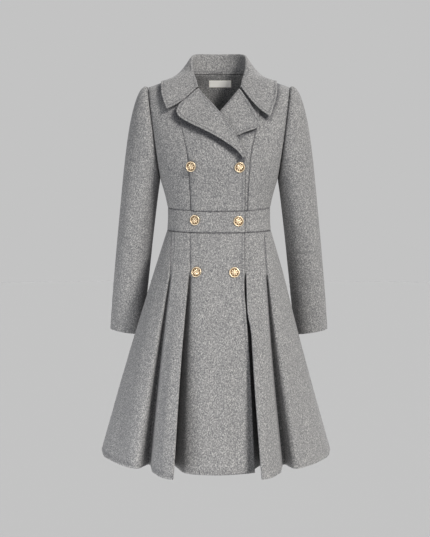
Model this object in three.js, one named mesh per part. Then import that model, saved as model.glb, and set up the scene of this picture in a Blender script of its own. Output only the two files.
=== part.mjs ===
// A double-breasted A-line wool coat, size S, filled out as if worn. Units are
// millimetres. +Z is up, the coat faces -Y, and +X is the wearer's left.
// The origin lies midway between the two points where the shoulder seams meet the
// neck, which is where the wearer's shoulders carry the coat.
import * as THREE from "three";

// Cloth and seams
const cloth = 2.4; // thickness of the coating wool
const seam = 0.3; // gap between two pieces at a seam
const layer = 3.4; // height of one cloth lying on another
const roundness = 2.5; // exponent of the body sections: 2 is an ellipse

// Shoulders and armholes
const neckHalfWidth = 75;
const shoulderTipX = 176;
const shoulderDrop = 36;
const armpitX = 145.5;
const armpitZ = -268;
const armholeDepth = 60; // from the middle of the armhole to its front or back
const shoulderSlope = shoulderDrop / (shoulderTipX - neckHalfWidth);
const backNeckRise = 4;

// Heights
const bandTop = -336;
const bandBottom = -391;
const pleatOpens = -487; // the pleats are stitched shut down to here
const hemZ = -942;
const waistDip = 7.5; // how far the waist seams dip at the centre front

// Body sections: half width at the side seam, and depth at centre front and back
const bodySections = [
  { z: 12, side: 55, front: 10, back: 68 },
  { z: 0, side: 75, front: 24, back: 74 },
  { z: -36, side: 176, front: 53, back: 92 },
  { z: -75, side: 170, front: 78, back: 103 },
  { z: -110, side: 165, front: 98, back: 110 },
  { z: -150, side: 160, front: 113, back: 114 },
  { z: -190, side: 155, front: 122, back: 113 },
  { z: -215, side: 150, front: 125, back: 110 },
  { z: -240, side: 148, front: 124, back: 106 },
  { z: -268, side: 145.5, front: 119, back: 101 },
  { z: -300, side: 135.5, front: 111, back: 96 },
  { z: -336, side: 128, front: 105, back: 92 },
  { z: -364, side: 127, front: 103.5, back: 91 },
  { z: -391, side: 129.5, front: 106, back: 94 },
];

// Princess seams: distance from the middle of the coat
const frontSeam = [
  { z: -13.2, x: 112 },
  { z: -60, x: 107 },
  { z: -107, x: 98 },
  { z: -165, x: 84.5 },
  { z: -213, x: 75.5 },
  { z: -268, x: 71.5 },
  { z: -336, x: 68.5 },
];
const backSeam = [
  { z: -13.2, x: 112 },
  { z: -107, x: 92 },
  { z: -213, x: 72 },
  { z: -336, x: 58 },
];

// Inner edge of a front: neck seam, then the fold of the lapel, then front edge.
// x counts across the middle, from the front's own side (-) to the other side (+).
// The first rows are also the rows of the front's grid, with the height of the same
// row on the princess seam. The third row is where collar and lapel meet.
const innerEdge = [
  { z: 0, x: -75 },
  { z: -12, x: -71 },
  { z: -27, x: -61.5 },
  { z: -43, x: -53 },
  { z: -69, x: -33.5 },
  { z: -96, x: -10.5 },
  { z: -124, x: 12 },
  { z: -153, x: 31.5 },
  { z: -183, x: 49 },
  { z: -212, x: 60 },
  { z: -250, x: 60.6 },
  { z: -285, x: 60.5 },
  { z: -311, x: 60.5 },
  { z: -336, x: 60.5 },
  { z: -391, x: 60.5 },
  { z: -514, x: 60.7 },
  { z: -589, x: 68.5 },
  { z: -680, x: 77.5 },
  { z: -775, x: 82.5 },
  { z: -942, x: 89.5 },
];
const gorgeRow = 3; // the row of innerEdge where the collar ends and the lapel starts
const tuck = 8; // the front underneath is this much narrower
const skirtTuck = { top: 14, hem: 37 }; // and its skirt this much

const clamp = (v, low, high) => Math.min(high, Math.max(low, v));
const mix = (a, b, t) => a + (b - a) * t;
const ease = (from, to, v) => {
  const t = clamp((v - from) / (to - from), 0, 1);
  return t * t * (3 - 2 * t);
};

// A column of a table at a key, by a smooth curve through its rows.
function read(table, column, at, key = "z") {
  const sign = Math.sign(table[table.length - 1][key] - table[0][key]);
  let i = 0;
  while (i < table.length - 2 && (at - table[i + 1][key]) * sign > 0) i++;
  const slope = (a, b) => (table[b][column] - table[a][column]) / (table[b][key] - table[a][key]);
  const last = table.length - 1;
  const span = table[i + 1][key] - table[i][key];
  const here = slope(i, i + 1);
  const tangent = (a, b) => {
    const s = slope(a, b);
    return s * here <= 0 ? 0 : Math.sign(s) * Math.min(Math.abs(s), 3 * Math.abs(here));
  };
  const m0 = i === 0 ? here : tangent(i - 1, i + 1);
  const m1 = i + 1 === last ? here : tangent(i, i + 2);
  const t = clamp((at - table[i][key]) / span, 0, 1);
  const t2 = t * t;
  const t3 = t2 * t;
  return (
    (2 * t3 - 3 * t2 + 1) * table[i][column] +
    (t3 - 2 * t2 + t) * span * m0 +
    (3 * t2 - 2 * t3) * table[i + 1][column] +
    (t3 - t2) * span * m1
  );
}

// Evenly spaced numbers, both ends included.
const steps = (from, to, count) =>
  Array.from({ length: count + 1 }, (_, i) => mix(from, to, i / count));

// The armhole is an ellipse in a steep plane, from the shoulder tip to the armpit.
function armhole(angle) {
  const c = Math.cos(angle);
  return {
    x: mix(armpitX, shoulderTipX, (1 + c) / 2),
    y: armholeDepth * Math.sin(angle),
    z: mix(armpitZ, -shoulderDrop, (1 + c) / 2),
  };
}

// Half width of the body section at a height. Between shoulder tip and armpit it is
// the width that carries the section through the armhole edge.
function sectionWidth(z, side) {
  if (z >= -shoulderDrop) return neckHalfWidth - z / shoulderSlope;
  if (z <= armpitZ) return read(bodySections, "side", z);
  const c = (2 * (z - armpitZ)) / (-shoulderDrop - armpitZ) - 1;
  const edge = armhole(Math.acos(clamp(c, -1, 1)));
  const depth = read(bodySections, side, z);
  return edge.x / (1 - (edge.y / depth) ** roundness) ** (1 / roundness);
}

// Depth of the body surface at x and z. side is "front" or "back".
function bodyDepth(x, z, side) {
  const share = clamp(Math.abs(x) / sectionWidth(z, side), 0, 1);
  return read(bodySections, side, z) * (1 - share ** roundness) ** (1 / roundness);
}

const facing = { front: -1, back: 1 };

// How far a point is outside the body surface, for its normal.
function outsideness(p, side) {
  const across = Math.abs(p.x) / sectionWidth(p.z, side);
  const deep = Math.abs(p.y) / read(bodySections, side, p.z);
  return across ** roundness + deep ** roundness;
}

function bodyNormal(p, side) {
  const d = 0.5;
  const slope = (axis) => {
    const a = p.clone();
    const b = p.clone();
    a[axis] += d;
    b[axis] -= d;
    return outsideness(a, side) - outsideness(b, side);
  };
  return new THREE.Vector3(slope("x"), slope("y"), slope("z")).normalize();
}

// The waist seams dip a little at the front.
function dipped(p) {
  const near = Math.exp(-(((p.z + 350) / 50) ** 2));
  const front = clamp(-p.y / 105, 0, 1) ** 2;
  return new THREE.Vector3(p.x, p.y, p.z - waistDip * near * front);
}

// A point on the body at x and z with its inner partner, lifted off the surface.
function onBody(x, z, side, lift = 0, thick = cloth) {
  const base = new THREE.Vector3(x, facing[side] * bodyDepth(x, z, side), z);
  const normal = bodyNormal(base, side);
  return {
    outer: dipped(base.clone().addScaledVector(normal, lift)),
    inner: dipped(base.clone().addScaledVector(normal, lift - thick)),
  };
}

// A point given by its turn round the section: 0 at the centre, PI/2 at the side.
function roundBody(turn, z, side, hand) {
  const power = 2 / roundness;
  const width = sectionWidth(z, side);
  const depth = read(bodySections, side, z);
  const base = new THREE.Vector3(
    hand * width * Math.max(Math.sin(turn), 0) ** power,
    facing[side] * depth * Math.max(Math.cos(turn), 0) ** power,
    z,
  );
  const normal = bodyNormal(base, side);
  return {
    outer: dipped(base),
    inner: dipped(base.clone().addScaledVector(normal, -cloth)),
  };
}

// The turn at which the section at z reaches x.
function turnAt(x, z, side) {
  const share = clamp(Math.abs(x) / sectionWidth(z, side), 0, 1);
  return Math.asin(share ** (roundness / 2));
}

// A closed wall from rows of { outer, inner } points. Rows run downwards, and the
// points of a row run counterclockwise seen from above, all round when closed.
function wall(rows, closed = false) {
  const high = rows.length;
  const wide = rows[0].length;
  const points = [];
  for (const row of rows) for (const p of row) points.push(p.outer);
  for (const row of rows) for (const p of row) points.push(p.inner);
  const outer = (r, c) => r * wide + (c % wide);
  const inner = (r, c) => high * wide + outer(r, c);
  const faces = [];
  const quad = (a, b, c, d) => faces.push(a, b, c, a, c, d);
  const last = closed ? wide : wide - 1;
  for (let c = 0; c < last; c++) {
    for (let r = 0; r < high - 1; r++) {
      quad(outer(r, c), outer(r + 1, c), outer(r + 1, c + 1), outer(r, c + 1));
      quad(inner(r, c), inner(r, c + 1), inner(r + 1, c + 1), inner(r + 1, c));
    }
    quad(outer(0, c), outer(0, c + 1), inner(0, c + 1), inner(0, c));
    const end = high - 1;
    quad(outer(end, c), inner(end, c), inner(end, c + 1), outer(end, c + 1));
  }
  for (let r = 0; r < high - 1 && !closed; r++) {
    quad(outer(r, 0), inner(r, 0), inner(r + 1, 0), outer(r + 1, 0));
    const end = wide - 1;
    quad(outer(r, end), outer(r + 1, end), inner(r + 1, end), inner(r, end));
  }
  const geometry = new THREE.BufferGeometry();
  geometry.setAttribute(
    "position",
    new THREE.Float32BufferAttribute(
      points.flatMap((p) => [p.x, p.y, p.z]),
      3,
    ),
  );
  geometry.setIndex(faces);
  return geometry;
}

// Inner partners for a grid of outer points, a cloth's thickness behind it.
function thicken(grid, thick = cloth, closed = false) {
  const high = grid.length;
  const wide = grid[0].length;
  return grid.map((row, r) =>
    row.map((p, c) => {
      const up = grid[Math.max(r - 1, 0)][c];
      const down = grid[Math.min(r + 1, high - 1)][c];
      const before = closed ? row[(c + wide - 1) % wide] : row[Math.max(c - 1, 0)];
      const after = closed ? row[(c + 1) % wide] : row[Math.min(c + 1, wide - 1)];
      const normal = down.clone().sub(up).cross(after.clone().sub(before)).normalize();
      return { outer: p, inner: p.clone().addScaledVector(normal, -thick) };
    }),
  );
}

// The same piece on the other side of the body.
function mirrored(geometry) {
  const copy = geometry.clone();
  copy.scale(-1, 1, 1);
  const index = Array.from(copy.index.array);
  for (let i = 0; i < index.length; i += 3) {
    [index[i + 1], index[i + 2]] = [index[i + 2], index[i + 1]];
  }
  copy.setIndex(index);
  return copy;
}

// Heights of the rows on the armhole and below it. All panels share these rows, so
// that their seams run through the same points.
const armholeRows = 10;
const seamLevels = [
  ...steps(-13.2, armpitZ, armholeRows),
  ...steps(armpitZ, bandTop + seam / 2, 3).slice(1),
];

// Bodice fronts, on the wearer's right: x is negative on its own side.

// The covered part of the front edge underneath.
function underEdge(z) {
  return read(innerEdge, "x", z) - tuck * (1 - ease(-190, -115, z));
}

// The right front lies over the left one, and above the break over its lapel too.
function overlapLift(x, z) {
  const under = x + underEdge(z);
  const near = ease(-260, -215, z);
  const high = ease(-212, -110, z);
  const start = -16 - 4.5 * near - 23.5 * high;
  const end = -7 - 2.5 * near - 6.5 * high;
  return layer * ease(start, end, under) * (1 + 1.2 * ease(-254, -232, z));
}

function centreFront(over) {
  const shares = [0, 0.075, 0.17, 0.3, 0.44, 0.58, 0.72, 0.86, 1];
  return seamLevels.map((seamZ, k) => {
    const edgeZ = k === seamLevels.length - 1 ? seamZ : innerEdge[k].z;
    const from = -read(frontSeam, "x", seamZ) + seam / 2;
    const to = over ? read(innerEdge, "x", edgeZ) : underEdge(edgeZ);
    return shares.map((u) => {
      const x = mix(from, to, u);
      const z = mix(seamZ, edgeZ, u);
      return onBody(x, z, "front", over ? overlapLift(x, z) : 0);
    });
  });
}

// A side panel from the armhole and side seam to the princess seam.
function sidePanel(side, seamTable) {
  const columns = 6;
  const rows = seamLevels.map((seamZ, k) => {
    const onArmhole = k <= armholeRows;
    const edge = onArmhole
      ? armhole((Math.PI * k) / armholeRows)
      : { x: sectionWidth(seamZ, side), y: 0, z: seamZ };
    const edgeTurn = turnAt(edge.x, edge.z, side) - (edge.y > 0.01 ? 0 : 0.0016);
    const seamTurn = turnAt(read(seamTable, "x", seamZ) + seam / 2, seamZ, side);
    return steps(0, 1, columns).map((u) =>
      roundBody(mix(edgeTurn, seamTurn, u), mix(edge.z, seamZ, u), side, -1),
    );
  });
  if (side === "back") for (const row of rows) row.reverse();
  return wall(rows);
}

// The back between its princess seams, with the neck cut out of its top.
const neckTurns = [0, 18, 36, 54, 72, 90];

function centreBack() {
  const blendRows = 4;
  const half = neckTurns.map((degrees) => ({
    x: neckHalfWidth * Math.sin(THREE.MathUtils.degToRad(degrees)),
    share: degrees / 112,
  }));
  half.push({ x: 112, share: 1 });
  const columns = [
    ...half.slice().reverse(),
    ...half.slice(1).map((c) => ({ x: -c.x, share: -c.share })),
  ];
  return seamLevels.map((level, k) => {
    const settle = ease(0, blendRows, k);
    const wide = read(backSeam, "x", level) - seam / 2;
    return columns.map(({ x, share }) => {
      if (Math.abs(share) === 1) return onBody(share * wide, level, "back");
      const across = Math.abs(x);
      const neckZ = backNeckRise * (1 - (across / neckHalfWidth) ** 2);
      const z = mix(neckZ + (level - seamLevels[0]), level, settle);
      return onBody(mix(x, share * wide, settle), z, "back");
    });
  });
}

// The waistband, between two turns round the body. 0 is centre front, and turns
// count counterclockwise seen from above.
function bandPoint(turn, z, lift) {
  const around = THREE.MathUtils.euclideanModulo(turn, 2 * Math.PI);
  const atBack = around > Math.PI / 2 && around < 1.5 * Math.PI;
  const side = atBack ? "back" : "front";
  const hand = around < Math.PI ? 1 : -1;
  const fromCentre = Math.abs(atBack ? around - Math.PI : Math.min(around, 2 * Math.PI - around));
  const p = roundBody(fromCentre, z, side, hand);
  const out = p.outer.clone().sub(p.inner).normalize();
  p.outer.addScaledVector(out, lift);
  p.inner.addScaledVector(out, lift);
  return p;
}

function waistband(fromTurn, toTurn, columns, liftAt) {
  const heights = steps(bandTop - seam / 2, bandBottom + seam / 2, 2);
  return wall(
    heights.map((z) =>
      steps(fromTurn, toTurn, columns).map((turn) => bandPoint(turn, z, liftAt(turn))),
    ),
  );
}

// Skirt. Each row is a fold line from waist to hem, in order from the centre to the
// side seam. Down to pleatOpens a pleat is only a stitched groove: along and out
// place the line's bend beside the groove. At the hem x and y are the bend's centre.
// leftX is how much further out it hangs on the wearer's left. radius is the bend's
// radius at the hem, and turn its side: 1 bends round the inside of the coat, -1
// round the outside, and 0 is a plain point.
const foldLines = [
  { name: "panelEdge", waistX: 70, openX: 68, along: -5, out: 0, hemX: 76, hemY: 226, leftX: 0, radius: 0, turn: 0, arc: 0, run: 2 },
  { name: "frontInner", waistX: 70, openX: 68, along: 0, out: 0.4, hemX: 103, hemY: 160, leftX: 6.5, radius: 5, turn: -1, arc: 3, run: 2 },
  { name: "frontFold", waistX: 70, openX: 68, along: 6, out: -2.7, hemX: 99, hemY: 277, leftX: 6.5, radius: 4, turn: 1, arc: 4, run: 2 },
  { name: "boxCrown", waistX: 90, openX: 92, along: 0, out: 0, hemX: 124, hemY: 264, leftX: 5, radius: 0, turn: 0, arc: 0, run: 2 },
  { name: "boxEdge", waistX: 111, openX: 115, along: -6, out: -2.7, hemX: 142, hemY: 219, leftX: 3, radius: 5, turn: 1, arc: 2, run: 2 },
  { name: "sideInner", waistX: 111, openX: 115, along: 0, out: 0.4, hemX: 160, hemY: 154, leftX: 1.5, radius: 4, turn: -1, arc: 3, run: 1 },
  { name: "sideFold", waistX: 111, openX: 115, along: 6, out: -2.7, hemX: 188, hemY: 175, leftX: 0, radius: 14, turn: 1, arc: 3, run: 2 },
  { name: "flareFront", waistX: 122, openX: 139, along: 0, out: 0, hemX: 234, hemY: 146, leftX: 0, radius: 0, turn: 0, arc: 0, run: 2 },
  { name: "flareSide", waistX: 128, openX: 154, along: 0, out: 0, hemX: 275, hemY: 78, leftX: 0, radius: 0, turn: 0, arc: 0, run: 2 },
];
const skirtSide = { waist: 129.5, open: 159, hem: 287.5 };
const skirtDepth = {
  front: { waist: 106, open: 132, hem: 242, scale: 1 },
  back: { waist: 94, open: 122, hem: 236, scale: 0.95 },
};
const skirtSwing = -7.5; // the hem hangs this far to the wearer's right
const grooveRadius = { outer: 2.7, inner: 1.6 };

// A value that runs straight from the waist to where the pleats open, then to the hem.
function alongSkirt(value, z) {
  return z > pleatOpens
    ? mix(value.waist, value.open, (z - bandBottom) / (pleatOpens - bandBottom))
    : mix(value.open, value.hem, (z - pleatOpens) / (hemZ - pleatOpens));
}

// The plain skirt section at x in the stitched part, with its normal.
function stitchedPoint(x, z, side) {
  const width = alongSkirt(skirtSide, z);
  const depth = alongSkirt(skirtDepth[side], z);
  const y = (px) => depth * (1 - clamp(px / width, 0, 1) ** roundness) ** (1 / roundness);
  const slope = (y(Math.min(x + 0.5, width)) - y(x - 0.5)) / (Math.min(x + 0.5, width) - x + 0.5);
  const length = Math.hypot(1, slope);
  return { x, y: y(x), alongX: 1 / length, alongY: slope / length, outX: -slope / length, outY: 1 / length };
}

// The bends of one quarter of the skirt at a height, from the centre to the side.
function quarterBends(z, side) {
  const opened = clamp((z - pleatOpens) / (hemZ - pleatOpens), 0, 1);
  const stitchedZ = Math.max(z, pleatOpens);
  const sink = 8 * ease(0, 0.045, opened) * (1 - opened); // the inner folds drop back at once
  return foldLines.map((fold) => {
    const x = alongSkirt({ waist: fold.waistX, open: fold.openX, hem: fold.openX }, stitchedZ);
    const p = stitchedPoint(x, stitchedZ, side);
    const startX = p.x + p.alongX * fold.along + p.outX * fold.out;
    const startY = p.y + p.alongY * fold.along + p.outY * fold.out;
    const startRadius = fold.turn > 0 ? grooveRadius.outer : grooveRadius.inner;
    return {
      x: mix(startX, fold.hemX, opened),
      y: mix(startY, fold.hemY * skirtDepth[side].scale, opened) - (fold.turn < 0 ? sink : 0),
      radius: fold.turn * mix(startRadius, fold.radius, opened),
      leftX: fold.leftX * opened,
      arc: fold.arc,
      run: fold.run,
    };
  });
}

// All the bends round one half of the skirt, from centre front to centre back or
// back again, as points with signed radii for travel counterclockwise from above.
function ringBends(z) {
  const swing = skirtSwing * ease(bandBottom, -760, z);
  const place = (bend, hand, side, run) => ({
    x: hand * bend.x + Math.max(hand, 0) * bend.leftX + swing,
    y: facing[side] * bend.y,
    radius: bend.radius,
    arc: bend.arc,
    run,
  });
  const front = quarterBends(z, "front");
  const back = quarterBends(z, "back");
  const runs = front.map((b) => b.run);
  const sidePoint = (hand) => ({
    x: hand * alongSkirt(skirtSide, z) + swing,
    y: 0,
    radius: 0,
    arc: 0,
    run: 2,
  });
  const outwards = (bends, hand, side) => bends.map((b) => place(b, hand, side, b.run));
  const inwards = (bends, hand, side) =>
    bends.map((b, i) => place(b, hand, side, i === 0 ? 1 : runs[i - 1])).reverse();
  return {
    frontLeft: [...outwards(front, 1, "front"), sidePoint(1)],
    backLeft: [sidePoint(1), ...inwards(back, 1, "back")],
    backRight: [...outwards(back, -1, "back"), sidePoint(-1)],
    frontRight: [sidePoint(-1), ...inwards(front, -1, "front")],
  };
}

// A belt round the bends: an arc on each and a straight run to the next, moved
// inwards by inset.
function belt(bends, inset) {
  const radius = (b) => b.radius - inset;
  const headings = [];
  for (let i = 0; i < bends.length - 1; i++) {
    const a = bends[i];
    const b = bends[i + 1];
    const dx = b.x - a.x;
    const dy = b.y - a.y;
    const ratio = (radius(b) - radius(a)) / Math.hypot(dx, dy);
    headings.push(Math.atan2(dy, dx) - Math.asin(clamp(ratio, -1, 1)));
  }
  const touch = (b, heading) => ({
    x: b.x + Math.sin(heading) * radius(b),
    y: b.y - Math.cos(heading) * radius(b),
  });
  const points = [];
  bends.forEach((b, i) => {
    const before = headings[Math.max(i - 1, 0)];
    const after = headings[Math.min(i, headings.length - 1)];
    const least = Math.PI * (Math.sign(b.radius) / 2 - 1);
    const turning = least + THREE.MathUtils.euclideanModulo(after - before - least, 2 * Math.PI);
    if (b.arc > 0) {
      for (const t of steps(0, 1, b.arc)) points.push(touch(b, before + turning * t));
    } else {
      points.push(touch(b, before + turning / 2));
    }
    if (i < bends.length - 1) {
      const from = touch(b, after);
      const to = touch(bends[i + 1], after);
      for (const t of steps(0, 1, b.run).slice(1, -1)) {
        points.push({ x: mix(from.x, to.x, t), y: mix(from.y, to.y, t) });
      }
    }
  });
  return points;
}

const skirtLevels = [
  bandBottom - seam / 2, pleatOpens, -492.5, -497.5, -503, -513, -535, -575, -650, -750, -850, hemZ,
];

// The centre panel of a skirt front from one x to another, with its bow.
function skirtCentre(x, z, side) {
  const edge = quarterBends(z, side)[0];
  const depth = alongSkirt(skirtDepth[side], z);
  return facing[side] * mix(depth, edge.y, (x / edge.x) ** 2);
}

function skirtPiece(quarter, side, centreColumns, edgeXAt, liftAt) {
  const centreFirst = quarter === "frontLeft" || quarter === "backRight";
  const hand = quarter === "frontLeft" || quarter === "backLeft" ? 1 : -1;
  const rows = skirtLevels.map((z) => {
    const swing = skirtSwing * ease(bandBottom, -760, z);
    const bends = ringBends(z)[quarter];
    const lines = [0, cloth].map((inset) => {
      const folds = belt(bends, inset);
      const panelEdge = centreFirst ? folds[0] : folds[folds.length - 1];
      const centre = steps(edgeXAt(z), panelEdge.x - swing, centreColumns)
        .slice(0, -1)
        .map((x) => ({
          x: x + swing,
          y: skirtCentre(x, z, side) - facing[side] * inset + facing[side] * liftAt(x, z),
        }));
      return centreFirst ? [...centre, ...folds] : [...folds, ...centre.reverse()];
    });
    return lines[0].map((p, i) => ({
      outer: dipped(new THREE.Vector3(p.x, p.y, z)),
      inner: dipped(new THREE.Vector3(lines[1][i].x, lines[1][i].y, z)),
    }));
  });
  for (const row of rows) {
    const sideEnd = centreFirst ? row[row.length - 1] : row[0];
    sideEnd.outer.y += (facing[side] * seam) / 2;
    sideEnd.inner.copy(sideEnd.outer);
    sideEnd.inner.x -= hand * cloth;
    if (side === "back") {
      const centreEnd = centreFirst ? row[0] : row[row.length - 1];
      centreEnd.outer.x += (hand * seam) / 2;
      centreEnd.inner.x = centreEnd.outer.x;
    }
  }
  return rows;
}

// Sleeves, on the wearer's right. Each row is a ring: its outermost and innermost
// point seen from the front, its half depth, and the height of the gathers at the head.
const sleeveRings = [
  { outX: 176.8, outZ: -36, inX: 146.2, inZ: -268, depth: 60, midY: 0, gather: 0 },
  { outX: 183, outZ: -33, inX: 146.6, inZ: -269, depth: 62.5, midY: 0, gather: 1.4 },
  { outX: 192, outZ: -38, inX: 147, inZ: -271, depth: 65.5, midY: 0.5, gather: 2.6 },
  { outX: 203, outZ: -54, inX: 147.6, inZ: -275, depth: 67, midY: 1, gather: 2.5 },
  { outX: 213.5, outZ: -86, inX: 148.6, inZ: -282, depth: 66.5, midY: 3, gather: 1.7 },
  { outX: 222, outZ: -122, inX: 150, inZ: -292, depth: 64.5, midY: 5, gather: 0.8 },
  { outX: 230, outZ: -170, inX: 152.2, inZ: -310, depth: 61.5, midY: 8, gather: 0.2 },
  { outX: 239, outZ: -246, inX: 157.3, inZ: -350, depth: 58, midY: 15, gather: 0 },
  { outX: 250.5, outZ: -350, inX: 166, inZ: -418, depth: 54, midY: 28, gather: 0 },
  { outX: 262, outZ: -452, inX: 175, inZ: -492, depth: 50, midY: 47, gather: 0 },
  { outX: 272.5, outZ: -553, inX: 185, inZ: -576, depth: 46, midY: 68, gather: 0 },
  { outX: 281.4, outZ: -650, inX: 194.5, inZ: -664, depth: 42, midY: 89, gather: 0 },
];
const gathers = [-50, -25, 0, 25, 50]; // degrees from the top of the sleeve head
const gatherWidth = 8;
const sleeveTurns = [
  ...steps(-62.5, 62.5, 15),
  ...steps(62.5, 297.5, 12).slice(1, -1),
];

function sleeve() {
  const grid = sleeveRings.map((ring) => {
    const out = new THREE.Vector3(-ring.outX, ring.midY, ring.outZ);
    const inside = new THREE.Vector3(-ring.inX, ring.midY, ring.inZ);
    const middle = out.clone().add(inside).multiplyScalar(0.5);
    const half = out.clone().sub(inside).multiplyScalar(0.5);
    return sleeveTurns.map((degrees) => {
      const a = THREE.MathUtils.degToRad(degrees);
      const trough = gathers.reduce(
        (sum, g) => sum + Math.exp(-(((degrees - g) / gatherWidth) ** 2)),
        0,
      );
      const swell = 1 + (ring.gather * (0.5 - trough)) / half.length();
      return middle
        .clone()
        .addScaledVector(half, Math.cos(a) * swell)
        .add(new THREE.Vector3(0, -ring.depth * Math.sin(a), 0));
    });
  });
  return wall(thicken(grid, cloth, true), true);
}

// The neck seam and front edge, as an edge of a front or of the back: each frame has
// the panel's two edge points, its normal, and out, which points off the panel.
function edgeFrames(edge, beside) {
  return edge.map((pair, i) => {
    const along = edge[Math.min(i + 1, edge.length - 1)].outer
      .clone()
      .sub(edge[Math.max(i - 1, 0)].outer);
    const normal = pair.outer.clone().sub(pair.inner).normalize();
    const out = normal.clone().cross(along).normalize();
    if (out.dot(pair.outer.clone().sub(beside[i].outer)) < 0) out.negate();
    return { outer: pair.outer, inner: pair.inner, normal, out };
  });
}

function frontEdgeFrames(rows) {
  const last = rows[0].length - 1;
  return edgeFrames(
    rows.map((row) => row[last]),
    rows.map((row) => row[last - 1]),
  );
}

function backEdgeFrames(rows) {
  const middle = neckTurns.length;
  const pick = (row) => neckTurns.map((_, i) => row[middle - i]);
  return edgeFrames(pick(rows[0]), pick(rows[1]));
}

// A frame between two rows of a table of frames.
function frameAt(frames, t) {
  const i = Math.min(Math.floor(t), frames.length - 2);
  const f = t - i;
  const blend = (key) => frames[i][key].clone().lerp(frames[i + 1][key], f);
  return {
    outer: blend("outer"),
    inner: blend("inner"),
    normal: blend("normal").normalize(),
    out: blend("out").normalize(),
  };
}

// Collar stations, from centre back to the front end: the top of the roll, the outer
// edge, how far the fall sags, how much its end edge bows down, and how high it
// stands off at its edge. The back is the same on both sides; the ends differ.
const collarBack = [
  { roll: [0, 79, 57], edge: [0, 106, -32], sag: 2, bow: 0, free: 8 },
  { roll: [24, 75.5, 57], edge: [40, 103, -32.5], sag: 2, bow: 0, free: 8 },
  { roll: [46, 64, 56], edge: [76, 95, -33], sag: 2, bow: 0, free: 7 },
  { roll: [61.5, 46, 53], edge: [108, 80, -31], sag: 3, bow: 0, free: 6 },
  { roll: [67, 27, 45], edge: [131, 55, -26], sag: 4, bow: 0, free: 4 },
  { roll: [65.5, 0, 21], edge: [141.8, 18, -19], sag: 5, bow: 0, free: 2 },
];
const collarFrontRight = [
  { roll: [60.5, -22, -8], edge: [142.5, -28, -30], sag: 3, bow: 0, free: 3 },
  { roll: [54.5, -42, -27], edge: [139.8, -62.7, -60], sag: 0, bow: 1, free: 6 },
  { roll: [48.8, -60, -43], edge: [126.5, -86, -96], sag: -1, bow: 8, free: 7 },
];
const collarFrontLeft = [
  { roll: [60.5, -22, -8], edge: [142.5, -28, -28], sag: 3, bow: 0, free: 3 },
  { roll: [54.5, -42, -27], edge: [140, -66, -67], sag: 0, bow: 1, free: 6 },
  { roll: [50, -60, -44], edge: [122.5, -94, -115], sag: -1, bow: 10, free: 7 },
];
const rollRadius = 4.2;
const endRollRadius = 3.8;

function collarStation(table, t) {
  const i = Math.min(Math.floor(t), table.length - 2);
  const curve = (name) => {
    const at = (k) => new THREE.Vector3(...table[clamp(k, 0, table.length - 1)][name]);
    const before = i === 0 ? at(1).multiply(new THREE.Vector3(-1, 1, 1)) : at(i - 1);
    return new THREE.CatmullRomCurve3([before, at(i), at(i + 1), at(i + 2)]).getPoint((1 + t - i) / 3);
  };
  const value = (name) => mix(table[i][name], table[i + 1][name], t - i);
  return { roll: curve("roll"), edge: curve("edge"), sag: value("sag"), bow: value("bow"), free: value("free") };
}

// Moves a point off the body until it is clear of it by a height.
function liftClear(p, height) {
  const z = p.z - height * 0.7;
  if (z > 0 || Math.abs(p.x) >= sectionWidth(z, "front")) return p;
  const side = p.y < 0 ? "front" : "back";
  const least = bodyDepth(p.x, z, side) + height;
  if (Math.abs(p.y) < least) p.y = facing[side] * least;
  return p;
}

// The collar across one station, as points of its visible face and hidden partners.
function collarSection({ roll, edge, sag, bow, free }, frame, toEnd) {
  const gap = mix(0.8, 1.6, toEnd);
  const neckHidden = frame.outer.clone().addScaledVector(frame.out, gap);
  const up = roll.clone().sub(neckHidden).normalize();
  const outwards = new THREE.Vector3(neckHidden.x, neckHidden.y - 10, 0).normalize();
  const away = outwards.add(frame.normal);
  away.addScaledVector(up, -away.dot(up)).normalize();
  const neck = neckHidden.clone().addScaledVector(away, -cloth);
  const radius = mix(rollRadius, endRollRadius, toEnd);
  const height = Math.max(roll.distanceTo(neckHidden), radius * 1.2);
  const centre = neck.clone().addScaledVector(up, height - radius).addScaledVector(away, radius);
  const onRoll = (degrees, r) => {
    const a = THREE.MathUtils.degToRad(degrees);
    return centre
      .clone()
      .addScaledVector(away, r * Math.cos(a))
      .addScaledVector(up, r * Math.sin(a));
  };
  const bend = [172, 120, 70, 25];
  const arc = bend.map((degrees) => onRoll(degrees, radius));
  const hiddenArc = bend.map((degrees) => onRoll(degrees, radius - cloth));
  const start = arc[arc.length - 1];
  const lean = up.clone().add(away).normalize();
  const falling = [0.14, 0.32, 0.5, 0.68, 0.84, 1].map((t) => {
    const p = start.clone().lerp(edge, t).addScaledVector(lean, -sag * Math.sin(Math.PI * t));
    p.z -= bow * Math.sin(Math.PI * t);
    return liftClear(p, cloth + 2.4 + free * t ** 1.5);
  });
  return {
    visible: [neck, neck.clone().lerp(arc[0], 0.55), ...arc, ...falling],
    hidden: [neckHidden, neckHidden.clone().lerp(hiddenArc[0], 0.55), ...hiddenArc],
  };
}

function collarHalf(backFrames, frontFrames, frontTable) {
  const table = [...collarBack, ...frontTable].map((row) => ({
    ...row,
    roll: [-row.roll[0], row.roll[1], row.roll[2]],
    edge: [-row.edge[0], row.edge[1], row.edge[2]],
  }));
  const frames = [...backFrames, ...frontFrames.slice(1, gorgeRow + 1)];
  const stations = [0, 1, 2, 3, 4, 4.5, 5, 5.5, 6, 6.5, 7, 7.5, 8];
  return stations.map((t) =>
    collarSection(collarStation(table, t), frameAt(frames, t), ease(4, 6.5, t)),
  );
}

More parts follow.
